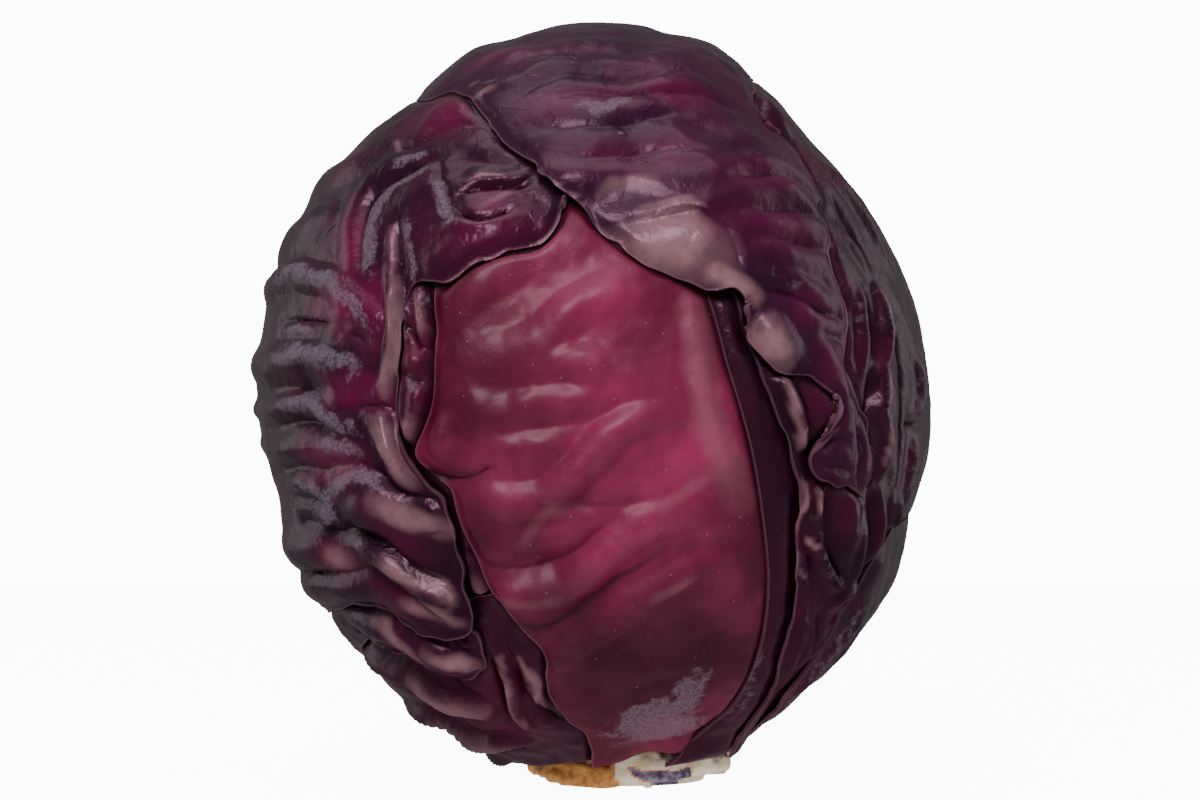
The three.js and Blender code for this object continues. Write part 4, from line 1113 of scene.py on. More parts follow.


# %% [markdown]
# Some places on the front have a colour of their own: grey wax bloom on ridges that nobody has touched,
# dry beige patches where the light leaf tissue shows, and warm magenta where the skin is thin. Other
# strokes paint light and shade: painted highlights along ridges, tubes, lips and curls, painted shade and
# shadow in the curls and on the lower part of the bare leaf, a painted grey reflection of the pale floor
# low on the bare leaf and on the leaves right of it, and a painted glow in some hollows and on the lit
# middle of the bare leaf. They are traced as strokes too. A stroke is its half width in millimetres, its
# strength and the places that it passes.

# %% Painted places
PAINT = {
    # On the left wrapper the pale strokes are painted highlights on ridges and tubes, the rims strokes
    # painted highlights on the edges of the lips and curls, the shade strokes painted shadow inside the
    # curls and under the lips, and the warm stroke in the hollow below the top ridge a painted glow. Its
    # grey strokes are wax bloom.
    "leaf_left": {
        "bloom_and_reflection": [
            (2.6, 1.0, (-47, 135), (-52, 133.2), (-57, 129.6), (-59, 126), (-59.4, 119), (-58.9, 113)),
            (1.6, 0.9, (-46, 140), (-51.5, 137.8), (-55.5, 136)),
            (1.5, 0.9, (-46.8, 134), (-43.6, 128), (-42, 124), (-40.2, 121)),
            (1.2, 1.0, (-51.6, 125.6), (-51.8, 119), (-50.4, 114.4), (-51.6, 110.4)),
            (2.0, 0.9, (-80, 111), (-73.5, 112.6), (-69, 111.4), (-65, 108), (-63, 104.6), (-59.3, 102),
                (-58, 98.6)),
            (1.6, 0.8, (-80, 99.6), (-76, 99.4), (-72, 98.6)),
            (2.2, 0.9, (-80, 94.4), (-73.5, 95), (-68, 94.2), (-63.6, 92.4), (-62, 90.4), (-64.4, 88.2)),
            (2.2, 0.9, (-80, 83), (-74, 83.6), (-70.5, 81.4), (-67, 79), (-61, 77)),
            (1.8, 0.8, (-72.3, 73), (-68.2, 74.2), (-63.4, 73.4), (-60.6, 71.2)),
            (1.6, 1.0, (-70, 63), (-67, 66), (-62.2, 68.2), (-59.6, 66.6), (-56.6, 64)),
            (2.0, 0.9, (-78, 65.6), (-70, 63), (-68.4, 60.4), (-71.6, 57), (-70.4, 54)),
            (1.4, 0.7, (-66, 54.4), (-61, 53.6), (-56, 50)),
            (3.0, 0.4, (-60, 34), (-52, 42)),
        ],
        "pale": [
            (1.0, 0.8, (-53.8, 112), (-53.8, 104), (-54.2, 97), (-55.4, 90), (-57.4, 85.6)),
            (1.6, 0.7, (-58, 79.6), (-56, 76), (-53.8, 71), (-50, 65.6)),
            (2.0, 0.7, (-58, 61.6), (-52, 59.4), (-46.6, 56.8), (-43, 54.8)),
            (1.4, 0.8, (-56, 50), (-50, 46.4), (-45, 43), (-41, 40.8)),
            (2.2, 0.6, (-69, 49.4), (-65, 50)),
            (1.4, 0.6, (-51, 41), (-45, 38.6), (-39, 36.4)),
        ],
        "shade": [
            (0.7, 1.0, (-38.4, 130.6), (-37, 131.6), (-35, 132.4), (-32, 132.4), (-29, 131.8), (-25, 133)),
            (0.8, 1.0, (-39, 131), (-40, 128), (-39.6, 125.4), (-38, 124), (-35, 123.6), (-32, 124.2),
                (-29.6, 126)),
            (0.6, 0.9, (-43.6, 109.4), (-40, 111.2), (-36, 113.6)),
            (0.7, 0.8, (-44.6, 138), (-43.4, 133), (-41.8, 128), (-40.4, 125)),
        ],
        "rims_and_highlights": [
            (0.55, 1.0, (-38.2, 131.6), (-37.3, 132.7), (-35.6, 133.6), (-32.7, 133.6), (-29.9, 133)),
            (0.5, 0.6, (-28.2, 133.1), (-25.4, 134.8), (-24, 137.4)),
            (0.55, 0.9, (-28.8, 126.2), (-29.9, 124.5), (-31.6, 123.1), (-33.9, 122.2), (-37.3, 122.2)),
            (0.5, 0.8, (-43, 110.3), (-39.5, 112.5), (-35, 115.4)),
            (0.5, 0.6, (-32.7, 138.7), (-29.3, 139.8), (-25.9, 139.3)),
            (0.9, 0.5, (-35.6, 124.8), (-32.7, 127.9), (-27.6, 130.7)),
            (0.8, 0.8, (-54.6, 110), (-55, 116), (-54.2, 122)),
            (0.6, 0.8, (-56, 142.6), (-55, 141.2), (-54, 139.6)),
        ],
        "warm": [
            (3.6, 0.9, (-64.4, 126), (-64.8, 118), (-63, 111)),
            (4.0, 1.0, (-73, 105), (-67, 104), (-62, 101)),
            (3.4, 0.8, (-60, 111), (-58, 104), (-59, 94)),
            (3.4, 1.0, (-70, 87), (-64, 86.6), (-58, 85), (-55, 82.6)),
            (3.4, 1.0, (-74, 69.6), (-67, 70.6), (-62, 70)),
            (4, 0.8, (-70, 49), (-64, 49)),
            (7, 0.9, (-50, 148.6), (-42, 150), (-37, 148.6)),
            (5, 0.7, (-36, 126), (-30, 129)),
            (5, 0.6, (-44, 116), (-36, 119), (-26, 122)),
            (4, 0.6, (-56, 58), (-48, 52)),
            (4, 0.5, (-56, 44), (-48, 40)),
        ],
    },
    # On the bare leaf the shade strokes paint shade on its lower part and left edge, the grey strokes by
    # its foot paint the reflection of the pale floor and the one high up a painted sheen, the broad warm
    # strokes paint its lit middle brighter, and the pale strokes are painted highlights on fold crests.
    "leaf_centre": {
        "shade": [
            (14, 1.0, (-14, 22), (2, 24), (20, 26)),
            (14, 0.6, (-30, 42), (-16, 30), (4, 28), (24, 34)),
            (10, 0.6, (-40, 58), (-34, 52), (-26, 44)),
            (12, 0.5, (30, 40), (32, 60)),
            (9, 0.25, (-44, 104), (-40, 92), (-38, 80)),
        ],
        "bloom_and_reflection": [
            (5.6, 1.3, (-4, 11), (3, 12.4), (9, 14)),
            (3.6, 1.0, (8, 13), (11.4, 18), (12.2, 22)),
            (4.0, 1.3, (0, 8.6), (6, 9.6), (12.4, 11)),
            (4, 0.25, (-29, 104), (-24, 106)),
        ],
        "pale": [
            (1.2, 0.2, (-26, 51), (-24, 56), (-20, 59.5), (-14, 60.5)),
            (1.0, 0.25, (3, 40.6), (7, 43), (11, 45.4)),
            (1.2, 0.25, (5, 60.6), (10, 63.5), (16, 66.5)),
            (1.2, 0.2, (-30, 41), (-25, 41), (-19, 39.6)),
            (3.6, 0.35, (13, 104), (14, 92), (16, 80), (19, 70), (22, 62)),
        ],
        "warm": [
            (20, 0.75, (-8, 88), (4, 76), (8, 62)),
            (14, 0.5, (-22, 98), (-10, 110), (0, 104)),
            (12, 0.7, (-20, 44), (-8, 50), (6, 50)),
            (9, 0.4, (-34, 60), (-26, 66)),
        ],
    },
    # On the top leaf the two wide pale strokes are beige dry tissue with a painted highlight, the narrow
    # ones painted highlights on lips, the rims strokes painted highlights and the shade strokes painted
    # shadow under the lip.
    "leaf_top": {
        "bloom_and_reflection": [
            (1.6, 1.0, (-12, 146.4), (-7, 148.6), (-2, 151)),
            (1.2, 0.8, (-16, 148), (-9, 149)),
            (0.8, 0.8, (-5, 143), (-3, 143.4)),
            (4.0, 0.4, (-26, 158), (-8, 160)),
            (3.0, 0.4, (-26, 150), (-14, 152)),
            (3.6, 0.3, (18, 134), (28, 136.4), (37, 134.4)),
            (2.4, 0.5, (26, 109.8), (34, 108), (42, 105)),
            (1.8, 0.5, (28, 150), (34, 143), (39, 135)),
        ],
        "pale": [
            (5.0, 0.95, (-3, 118), (4, 118.6), (10, 117.6), (15, 115)),
            (2.6, 0.9, (25.6, 99.6), (27.6, 96.4), (29, 93)),
            (1.4, 0.45, (-9, 130.2), (-3, 131.6), (2, 130.8)),
            (1.0, 0.7, (-4, 125), (3, 125.6), (10, 126)),
            (1.0, 0.6, (-38, 152.6), (-32, 153.6)),
            (2.0, 0.9, (15, 112), (19, 110.6), (23, 107)),
        ],
        "warm": [
            (4, 1.0, (-24, 149), (-14, 150.4), (-4, 151.6)),
            (3, 0.9, (-38, 160), (-28, 161.6)),
            (4, 0.9, (2, 152), (12, 151)),
            (4, 0.8, (18, 131), (28, 132), (36, 131)),
            (5, 0.9, (20, 120), (30, 121), (38, 119)),
            (4, 0.9, (30, 103), (38, 101)),
            (5, 0.6, (-16, 139), (-4, 137), (8, 137)),
            (4, 0.8, (38, 94), (42, 90)),
        ],
        "shade": [
            (0.8, 0.9, (-6, 122.6), (0, 123), (6, 123.6), (14, 123.4)),
            (0.7, 0.7, (-40, 154.4), (-26, 155.4), (-16, 157.6), (-3, 159.6)),
        ],
        "rims_and_highlights": [
            (0.5, 0.9, (-6, 124), (0, 124.6), (6, 125), (14, 124.8)),
            (0.5, 0.6, (35, 70.4), (37.6, 75.6), (43.2, 78.2)),
            (0.5, 0.6, (-40, 155.4), (-32, 155.6)),
        ],
    },
    # On the right wrapper the pale strokes are painted highlights along the upright tubes.
    "leaf_right": {
        "bloom_and_reflection": [(3, 0.5, (48, 108), (50, 98)), (3.4, 0.6, (62, 92), (62, 80), (59, 66), (56, 56))],
        "pale": [
            (0.8, 0.9, (29.4, 89.6), (31.2, 84.6), (32.8, 79), (33.8, 74)),
            (0.6, 0.9, (34.4, 66), (34.6, 61), (33.4, 56), (33.4, 51), (34.4, 46)),
            (0.6, 0.9, (37.2, 66), (37.4, 62), (36.4, 57), (36.8, 52.6), (39.4, 47)),
            (0.9, 0.9, (53, 109), (53.6, 101), (54.6, 94)),
            (0.7, 0.9, (54.6, 90), (53, 84), (52.8, 76), (52.2, 70)),
        ],
        "warm": [(5, 0.5, (36, 86), (38, 80)), (5, 0.4, (46, 58), (45, 66)), (3, 0.6, (52, 94), (55, 92))],
    },
    # The pale strokes of this leaf and of the two leaves low on the left are painted highlights on fold
    # crests.
    "leaf_inner_left": {
        "pale": [(1.0, 0.7, (-48, 107), (-47.8, 98)), (1.4, 0.5, (-50.6, 80), (-51, 75)),
            (1.6, 0.6, (-36, 43), (-30, 35))],
        "bloom_and_reflection": [
            (1.1, 1.0, (-51.6, 108), (-52, 101), (-51.6, 96)),
            (1.1, 0.9, (-46.4, 109), (-46.2, 102)),
            (1.6, 0.9, (-51, 91), (-50, 86)),
        ],
        "warm": [(3.4, 1.0, (-49, 106), (-49, 94), (-50, 82), (-51, 76)), (6, 0.6, (-34, 34), (-30, 28))],
    },
    "leaf_foot_left": {
        "pale": [
            (1.5, 0.6, (-50, 22.8), (-42, 19.6), (-34, 16)),
            (1.3, 0.5, (-46, 13.4), (-38, 10), (-28, 8.6)),
            (0.7, 0.7, (-31.4, 28), (-29, 22.6), (-27.8, 17.4), (-25, 13)),
            (0.7, 0.7, (-27, 27), (-24, 21), (-20, 17), (-15, 13.6)),
        ],
        "warm": [(6, 0.6, (-32, 26), (-28, 16), (-22, 8))],
    },
    "leaf_low_left": {
        "pale": [(1.4, 0.8, (-46, 30), (-40, 27.4), (-36, 25)),
            (1.4, 0.6, (-58, 35.6), (-52, 32), (-47.4, 29))],
        "bloom_and_reflection": [(3, 0.4, (-62, 34), (-56, 30))],
    },
    # The grey strokes low on these two leaves paint the reflection of the pale floor.
    "leaf_inner_right": {"bloom_and_reflection": [(3, 0.25, (19, 100), (20, 92)), (4, 0.5, (18, 11), (24, 19), (27, 30))]},
    "leaf_foot_right": {"bloom_and_reflection": [(3.4, 0.6, (34, 22), (42, 31), (48, 40))]},
}


PAINT_KINDS = ("bloom_and_reflection", "pale", "warm", "rims_and_highlights", "shade")
STROKE_WANDER = 1.2
STROKE_WANDER_SIZE = 6.0
STROKE_SPREAD = 1.35


def painted(leaf, p, kind):
    mask = np.zeros(len(p))
    wander = p + STROKE_WANDER * noise_vector(p, STROKE_WANDER_SIZE, 91)
    for half_width, strength, *places in PAINT.get(leaf["name"], {}).get(kind, []):
        stroke = fold_height(wander, ridge(half_width * STROKE_SPREAD, strength, *places, power=1.0))
        mask = np.maximum(mask, stroke)
    return mask


# %% [markdown]
# A leaf's mesh is made as a flat grid by the same operator as by hand, and its points are then set on the
# head. Solidify gives it the thickness of a leaf towards the inside. What the finish needs to know of
# each place, such as how high it stands or how near the margin is, is stored on the points.

# %% Making a leaf
MEASURED = ("crest", "cut", "edge", "rib", "contact", "gathered")
LEAF_SHARP_ANGLE = math.radians(60)


def deselect():
    bpy.ops.object.select_all(action="DESELECT")


def write_attribute(mesh, name, values):
    attribute = mesh.attributes.new(name, "FLOAT", "POINT")
    attribute.data.foreach_set("value", np.ascontiguousarray(values, np.float32))


def apply_modifier(piece, kind, **settings):
    bpy.context.view_layer.objects.active = piece
    modifier = piece.modifiers.new(kind.title(), kind)
    for key, value in settings.items():
        setattr(modifier, key, value)
    bpy.ops.object.modifier_apply(modifier=modifier.name)


def edit_all(piece, *steps):
    """Runs edit-mode operators on all of a piece."""
    deselect()
    piece.select_set(True)
    bpy.context.view_layer.objects.active = piece
    bpy.ops.object.mode_set(mode="EDIT")
    bpy.ops.mesh.select_all(action="SELECT")
    for step in steps:
        step()
    bpy.ops.object.mode_set(mode="OBJECT")


def make_leaf(number):
    leaf = LEAVES[number]
    surface, values = leaf_surface(number)
    rows, columns = surface.shape[0] - 1, surface.shape[1] - 1
    deselect()
    bpy.ops.mesh.primitive_grid_add(x_subdivisions=columns, y_subdivisions=rows, size=1)
    piece = bpy.context.object
    piece.name = piece.data.name = leaf["name"] + "_skin"
    mesh = piece.data
    flat = np.empty(len(mesh.vertices) * 3)
    mesh.vertices.foreach_get("co", flat)
    flat = flat.reshape(-1, 3)
    column = np.rint((flat[:, 0] + 0.5) * columns).astype(int)
    row = np.rint((flat[:, 1] + 0.5) * rows).astype(int)
    points = surface[row, column]
    mesh.vertices.foreach_set("co", (points * MM).ravel())
    d = direction_to(points)
    smooth_place = d * heart_radius(d)[:, None]
    for name in MEASURED:
        write_attribute(mesh, name, values[name][row, column])
    for kind in PAINT_KINDS:
        write_attribute(mesh, kind, painted(leaf, smooth_place, kind) * values["shows"][row, column])
    mesh.update()
    normals = np.empty(len(mesh.polygons) * 3)
    mesh.polygons.foreach_get("normal", normals)
    centres = np.empty(len(mesh.polygons) * 3)
    mesh.polygons.foreach_get("center", centres)
    outward = centres.reshape(-1, 3) / MM - HEART_CENTRE
    if np.sum(normals.reshape(-1, 3) * outward) < 0:
        edit_all(piece, bpy.ops.mesh.flip_normals)
    apply_modifier(piece, "SOLIDIFY", thickness=LEAF_THICKNESS * MM, offset=-1, use_rim=True)
    deselect()
    piece.select_set(True)
    bpy.ops.object.shade_smooth_by_angle(angle=LEAF_SHARP_ANGLE)
    print(piece.name, len(piece.data.polygons) * 2, "triangles")
    return piece


skins = {}
for number, leaf in enumerate(LEAVES):
    leaf["number"] = number
    skins[leaf["name"]] = make_leaf(number)

# %% [markdown]
# The heart is the tight ball inside. Only slits of it show, at the crown and round the stem. A fine round
# mesh is swollen with low pillows, and the core of the stem is cut out of it.

# %% Heart
STEM_CLEARANCE = 0.5
CUTTER_BELOW_GROUND = 4.0
FAR_FROM_EDGE = 10.0
HEART_SHARP_ANGLE = math.radians(50)
CORE_PROFILE = [(17.0, 0.0), (18.8, 2.2), (19.8, 5.0), (17.5, 9.5), (14.0, 14.0), (11.5, 22.0), (9.5, 38.0),
    (6.5, 52.0), (3.0, 56.5)]

deselect()
bpy.ops.mesh.primitive_ico_sphere_add(subdivisions=6, radius=1)
heart = bpy.context.object
heart.name = heart.data.name = "heart_skin"
co = np.empty(len(heart.data.vertices) * 3)
heart.data.vertices.foreach_get("co", co)
d = co.reshape(-1, 3)
d /= np.linalg.norm(d, axis=1, keepdims=True)
p = d * heart_radius(d)[:, None]
swell = 0.8 * noise(p, 18.0, 3) + 0.3 * noise(p, 7.0, 4) + crinkles({"grain": UPRIGHT}, p) - 0.6
heart.data.vertices.foreach_set("co", (over_heart(d, swell) * MM).ravel())
for name in (*MEASURED, *PAINT_KINDS):
    write_attribute(heart.data, name, np.full(len(d), FAR_FROM_EDGE if name == "edge" else 0.0))


def turned(name, profile, segments):
    """A solid of revolution: a disc that is extruded up ring by ring, each ring scaled to its radius."""
    deselect()
    start_radius, start_z = profile[0]
    bpy.ops.mesh.primitive_circle_add(vertices=segments, radius=start_radius * MM, fill_type="NGON",
                                      location=(0, 0, start_z * MM))
    piece = bpy.context.object
    piece.name = piece.data.name = name
    bpy.ops.object.transform_apply(location=True, rotation=True, scale=True)
    bpy.ops.object.mode_set(mode="EDIT")
    bpy.ops.mesh.select_all(action="SELECT")
    for (radius, z), (next_radius, next_z) in zip(profile, profile[1:]):
        bpy.ops.mesh.extrude_region_move(TRANSFORM_OT_translate={"value": (0, 0, (next_z - z) * MM)})
        factor = next_radius / radius
        bpy.ops.transform.resize(value=(factor, factor, 1), center_override=(0, 0, next_z * MM))
    bpy.ops.mesh.select_all(action="SELECT")
    bpy.ops.mesh.normals_make_consistent(inside=False)
    bpy.ops.object.mode_set(mode="OBJECT")
    return piece


cutter_profile = []
for core_radius, z in CORE_PROFILE:
    past_core = STEM_CLEARANCE if z else -CUTTER_BELOW_GROUND
    cutter_profile.append((core_radius + STEM_CLEARANCE, z + past_core))
cutter = turned("core_cutter", cutter_profile, 48)
apply_modifier(heart, "BOOLEAN", object=cutter, operation="DIFFERENCE", solver="EXACT")
bpy.data.objects.remove(cutter)
deselect()
heart.select_set(True)
bpy.context.view_layer.objects.active = heart
bpy.ops.object.shade_smooth_by_angle(angle=HEART_SHARP_ANGLE)
print("heart", len(heart.data.polygons), "faces")

# %% [markdown]
# The stem was cut with a knife just under the head, and the stalks of the leaves that were taken off are
# left round it as stubs. A turned core and a rounded block for each stub are joined, and a fine remesh
# fuses them as they grew. Each cut face is a range of azimuths and of heights with one tone, which picks
# its colour later.

# %% Stem
STUBS = [
    {"azimuth": -32, "width": 17, "low": 0.0, "high": 5.6, "reach": 22.0, "tilt": 4},
    {"azimuth": -17, "width": 7, "low": 4.0, "high": 8.8, "reach": 21.4, "tilt": -12},
    {"azimuth": 4, "width": 11, "low": 0.8, "high": 9.4, "reach": 22.6, "tilt": 9},
    {"azimuth": 26, "width": 12, "low": 1.2, "high": 7.6, "reach": 22.8, "tilt": -7},
    {"azimuth": 60, "width": 13, "low": 2.4, "high": 7.0, "reach": 23.6, "tilt": 8},
    {"azimuth": 78, "width": 6, "low": 5.0, "high": 10.0, "reach": 23.6, "tilt": 24},
    {"azimuth": 118, "width": 15, "low": 1.0, "high": 6.4, "reach": 22.6, "tilt": -6},
    {"azimuth": 166, "width": 17, "low": 0.5, "high": 5.8, "reach": 22.2, "tilt": 5},
    {"azimuth": -124, "width": 15, "low": 0.8, "high": 6.8, "reach": 22.6, "tilt": 7},
    {"azimuth": -80, "width": 13, "low": 0.6, "high": 5.2, "reach": 19.8, "tilt": -5},
]
CUTS = [
    {"azimuth": (-116, -7), "height": (-1.0, 5.6), "tone": 0.7},
    {"azimuth": (-27, -9), "height": (5.0, 10.0), "tone": 0.92},
    {"azimuth": (7, 39), "height": (-1.0, 4.2), "tone": 1.3},
    {"azimuth": (70, 96), "height": (5.2, 12.0), "tone": 1.3},
    {"azimuth": (104, 132), "height": (-1.0, 4.4), "tone": 0.7},
    {"azimuth": (150, 182), "height": (-1.0, 5.0), "tone": 0.6},
    {"azimuth": (-180, -176), "height": (-1.0, 5.0), "tone": 0.6},
    {"azimuth": (-140, -112), "height": (-1.0, 4.0), "tone": 0.45},
    {"azimuth": (-104, -90), "height": (3.0, 9.0), "tone": 1.3},
]
FLESH = 0.12
STUMP_REMESH = 0.45
STUB_DEPTH = 9.0
STUB_ROUNDING = 1.7
ROUGHNESS_OF_CUT = ((0.8, 4.6, 7), (0.45, 2.0, 8))
CUT_FACE_WAVE = 0.5
FLAT_BELOW = 0.35

stem = turned("stem_skin", CORE_PROFILE, 64)
blocks = [stem]
for stub in STUBS:
    deselect()
    turn = math.radians(stub["azimuth"])
    centre = stub["reach"] - STUB_DEPTH / 2
    middle = (stub["low"] + stub["high"]) / 2
    place = (centre * math.sin(turn) * MM, -centre * math.cos(turn) * MM, middle * MM)
    bpy.ops.mesh.primitive_cube_add(size=1, location=place, rotation=(0, math.radians(stub["tilt"]), turn))
    block = bpy.context.object
    block.scale = (stub["width"] * MM, STUB_DEPTH * MM, (stub["high"] - stub["low"]) * MM)
    bpy.ops.object.transform_apply(location=True, rotation=True, scale=True)
    edit_all(block, lambda: bpy.ops.mesh.bevel(offset=STUB_ROUNDING * MM, segments=4, affect="EDGES"))
    blocks.append(block)
deselect()
for block in blocks:
    block.select_set(True)
bpy.context.view_layer.objects.active = stem
bpy.ops.object.join()
stem.data.remesh_voxel_size = STUMP_REMESH * MM
deselect()
stem.select_set(True)
bpy.ops.object.voxel_remesh()
co = np.empty(len(stem.data.vertices) * 3)
stem.data.vertices.foreach_get("co", co)
p = co.reshape(-1, 3) / MM
radial = p * [1, 1, 0]
radial /= np.maximum(1e-6, np.linalg.norm(radial, axis=1, keepdims=True))
rough = sum(height * noise(p, size, seed) for height, size, seed in ROUGHNESS_OF_CUT) - 0.2
outer = soft_step(14, 18, np.hypot(p[:, 0], p[:, 1])) * soft_step(0.2, 1.2, p[:, 2])
p += radial * (rough * outer)[:, None]
p[:, 2] += outer * CUT_FACE_WAVE * noise(p, 3.4, 9)
p[:, 2] = np.where(p[:, 2] < FLAT_BELOW, 0.0, p[:, 2])
stem.data.vertices.foreach_set("co", (p * MM).ravel())
azimuth = np.degrees(np.arctan2(p[:, 0], -p[:, 1])) + 9.0 * noise(p, 4.0, 12) + 3.0 * noise(p, 1.6, 13)
level = p[:, 2] + 1.6 * noise(p, 3.6, 14)
tone = np.full(len(p), FLESH)
for cut in CUTS:
    (left, right), (low, high) = cut["azimuth"], cut["height"]
    in_turn = (azimuth > left) & (azimuth < right)
    in_height = (level > low) & (level < high)
    tone[in_turn & in_height & (outer > 0)] = cut["tone"]
write_attribute(stem.data, "tone", tone)
bpy.ops.object.shade_smooth()
print("stem", len(stem.data.polygons), "faces")

# %% [markdown]
# Finishes are written as arithmetic on the values of a material. One small class wraps an output of a
# node, so that adding or multiplying two of them adds the Math node that does it.

# %% Arithmetic for finishes
class Value:
    def __init__(self, finish, socket):
        self.finish = finish
        self.socket = socket

    def math(self, operation, *others):
        return self.finish.node("ShaderNodeMath", {"operation": operation}, self, *others)

    def __add__(self, other):
        return self.math("ADD", other)

    def __radd__(self, other):
        return self.math("ADD", other)

    def __sub__(self, other):
        return self.math("SUBTRACT", other)

    def __rsub__(self, other):
        return self.finish.node("ShaderNodeMath", {"operation": "SUBTRACT"}, other, self)

    def __mul__(self, other):
        return self.math("MULTIPLY", other)

    def __rmul__(self, other):
        return self.math("MULTIPLY", other)

    def clamped(self):
        return self.finish.node("ShaderNodeMath", {"operation": "ADD", "use_clamp": True}, self, 0.0)


class Finish:
    """A material with its shader, and one method that adds any other node."""

    def __init__(self, name):
        self.material = bpy.data.materials.new(name)
        self.material.use_nodes = True
        self.tree = self.material.node_tree
        self.shader = self.tree.nodes["Principled BSDF"]
        self.place = self.node("ShaderNodeTexCoord", output="Object")

    def node(self, kind, settings=None, *inputs, output=0, **named):
        node = self.tree.nodes.new(kind)
        for key, value in (settings or {}).items():
            setattr(node, key, value)
        for key, value in list(enumerate(inputs)) + list(named.items()):
            self.feed(node.inputs[key], value)
        return Value(self, node.outputs[output])

    def feed(self, socket, value):
        if isinstance(value, Value):
            self.tree.links.new(value.socket, socket)
        elif value is not None:
            socket.default_value = value

    def attribute(self, name):
        return self.node("ShaderNodeAttribute", {"attribute_name": name}, output="Fac")

    def noise(self, size, detail=3.0, roughness=0.5, distortion=0.0):
        """Noise from 0 to 1 with features of a size in millimetres."""
        return self.node("ShaderNodeTexNoise", None, Vector=self.place, Scale=1 / (size * MM),
                         Detail=detail, Roughness=roughness, Distortion=distortion)

    def ramp(self, value, low, high):
        """0 where a value is below low, 1 where it is above high, and smooth between them."""
        return self.node("ShaderNodeMapRange", {"interpolation_type": "SMOOTHSTEP"}, value, low, high)

    def mix(self, factor, first, second):
        """The first colour where the factor is 0 and the second where it is 1."""
        node = self.tree.nodes.new("ShaderNodeMix")
        node.data_type = "RGBA"
        for index, value in ((0, factor), (6, first), (7, second)):
            if isinstance(value, tuple):
                value = (*value, 1.0)
            self.feed(node.inputs[index], value)
        return Value(self, node.outputs[2])

    def set(self, **inputs):
        for key, value in inputs.items():
            socket = self.shader.inputs[key.replace("_", " ")]
            self.feed(socket, (*value, 1.0) if isinstance(value, tuple) and len(value) == 3 else value)

    def bump(self, height, strength, distance):
        return self.node("ShaderNodeBump", None, Strength=strength, Distance=distance * MM, Height=height)


def tint(red, green, blue):
    """A colour as it looks on a screen, from 0 to 255, in the linear values that a shader takes."""
    def linear(channel):
        c = channel / 255
        return c / 12.92 if c < 0.04045 else ((c + 0.055) / 1.055) ** 2.4
    return (linear(red), linear(green), linear(blue))


# %% [markdown]
# The skin of a red cabbage leaf is nearly black purple where it is thick and magenta where it is thin. It
# is waxy: a grey bloom of fine specks lies on the ridges, and what is rubbed clean has a soft gloss. The
# margin is thin and pale and also gets a painted highlight. The creases, and the leaf just under an
# overlying margin, are darkened with painted shade. The traced strokes add painted highlights, shade,
# glow and reflection, and water drops are pale specks, a painted glint. All leaves share one recipe. A
# leaf's own finish says how deep and how warm its colours are, how much of it is warm, how much bloom it
# has, how rough its gloss is, how crumpled and how damp it is, and the colour of its sheen.

# %% The leaf finish
# The grey colour is wax bloom and, on some strokes, a painted reflection; the pale one is a painted
# highlight and also beige dry tissue; the rim colour is a pale margin with a painted highlight; the crease
# colour and the shade colour are painted shade.
BLOOM_AND_REFLECTION = tint(124, 108, 124)
PALE_AND_HIGHLIGHT = tint(178, 132, 138)
RIM_AND_HIGHLIGHT = tint(150, 100, 118)
CREASE_SHADE = tint(16, 4, 10)
RIB = tint(130, 76, 104)
SHADE = tint(44, 8, 26)
BLOOM_AND_REFLECTION_COVER = 0.72
PALE_AND_HIGHLIGHT_COVER = 0.72
DROP_SPACING = 2.2


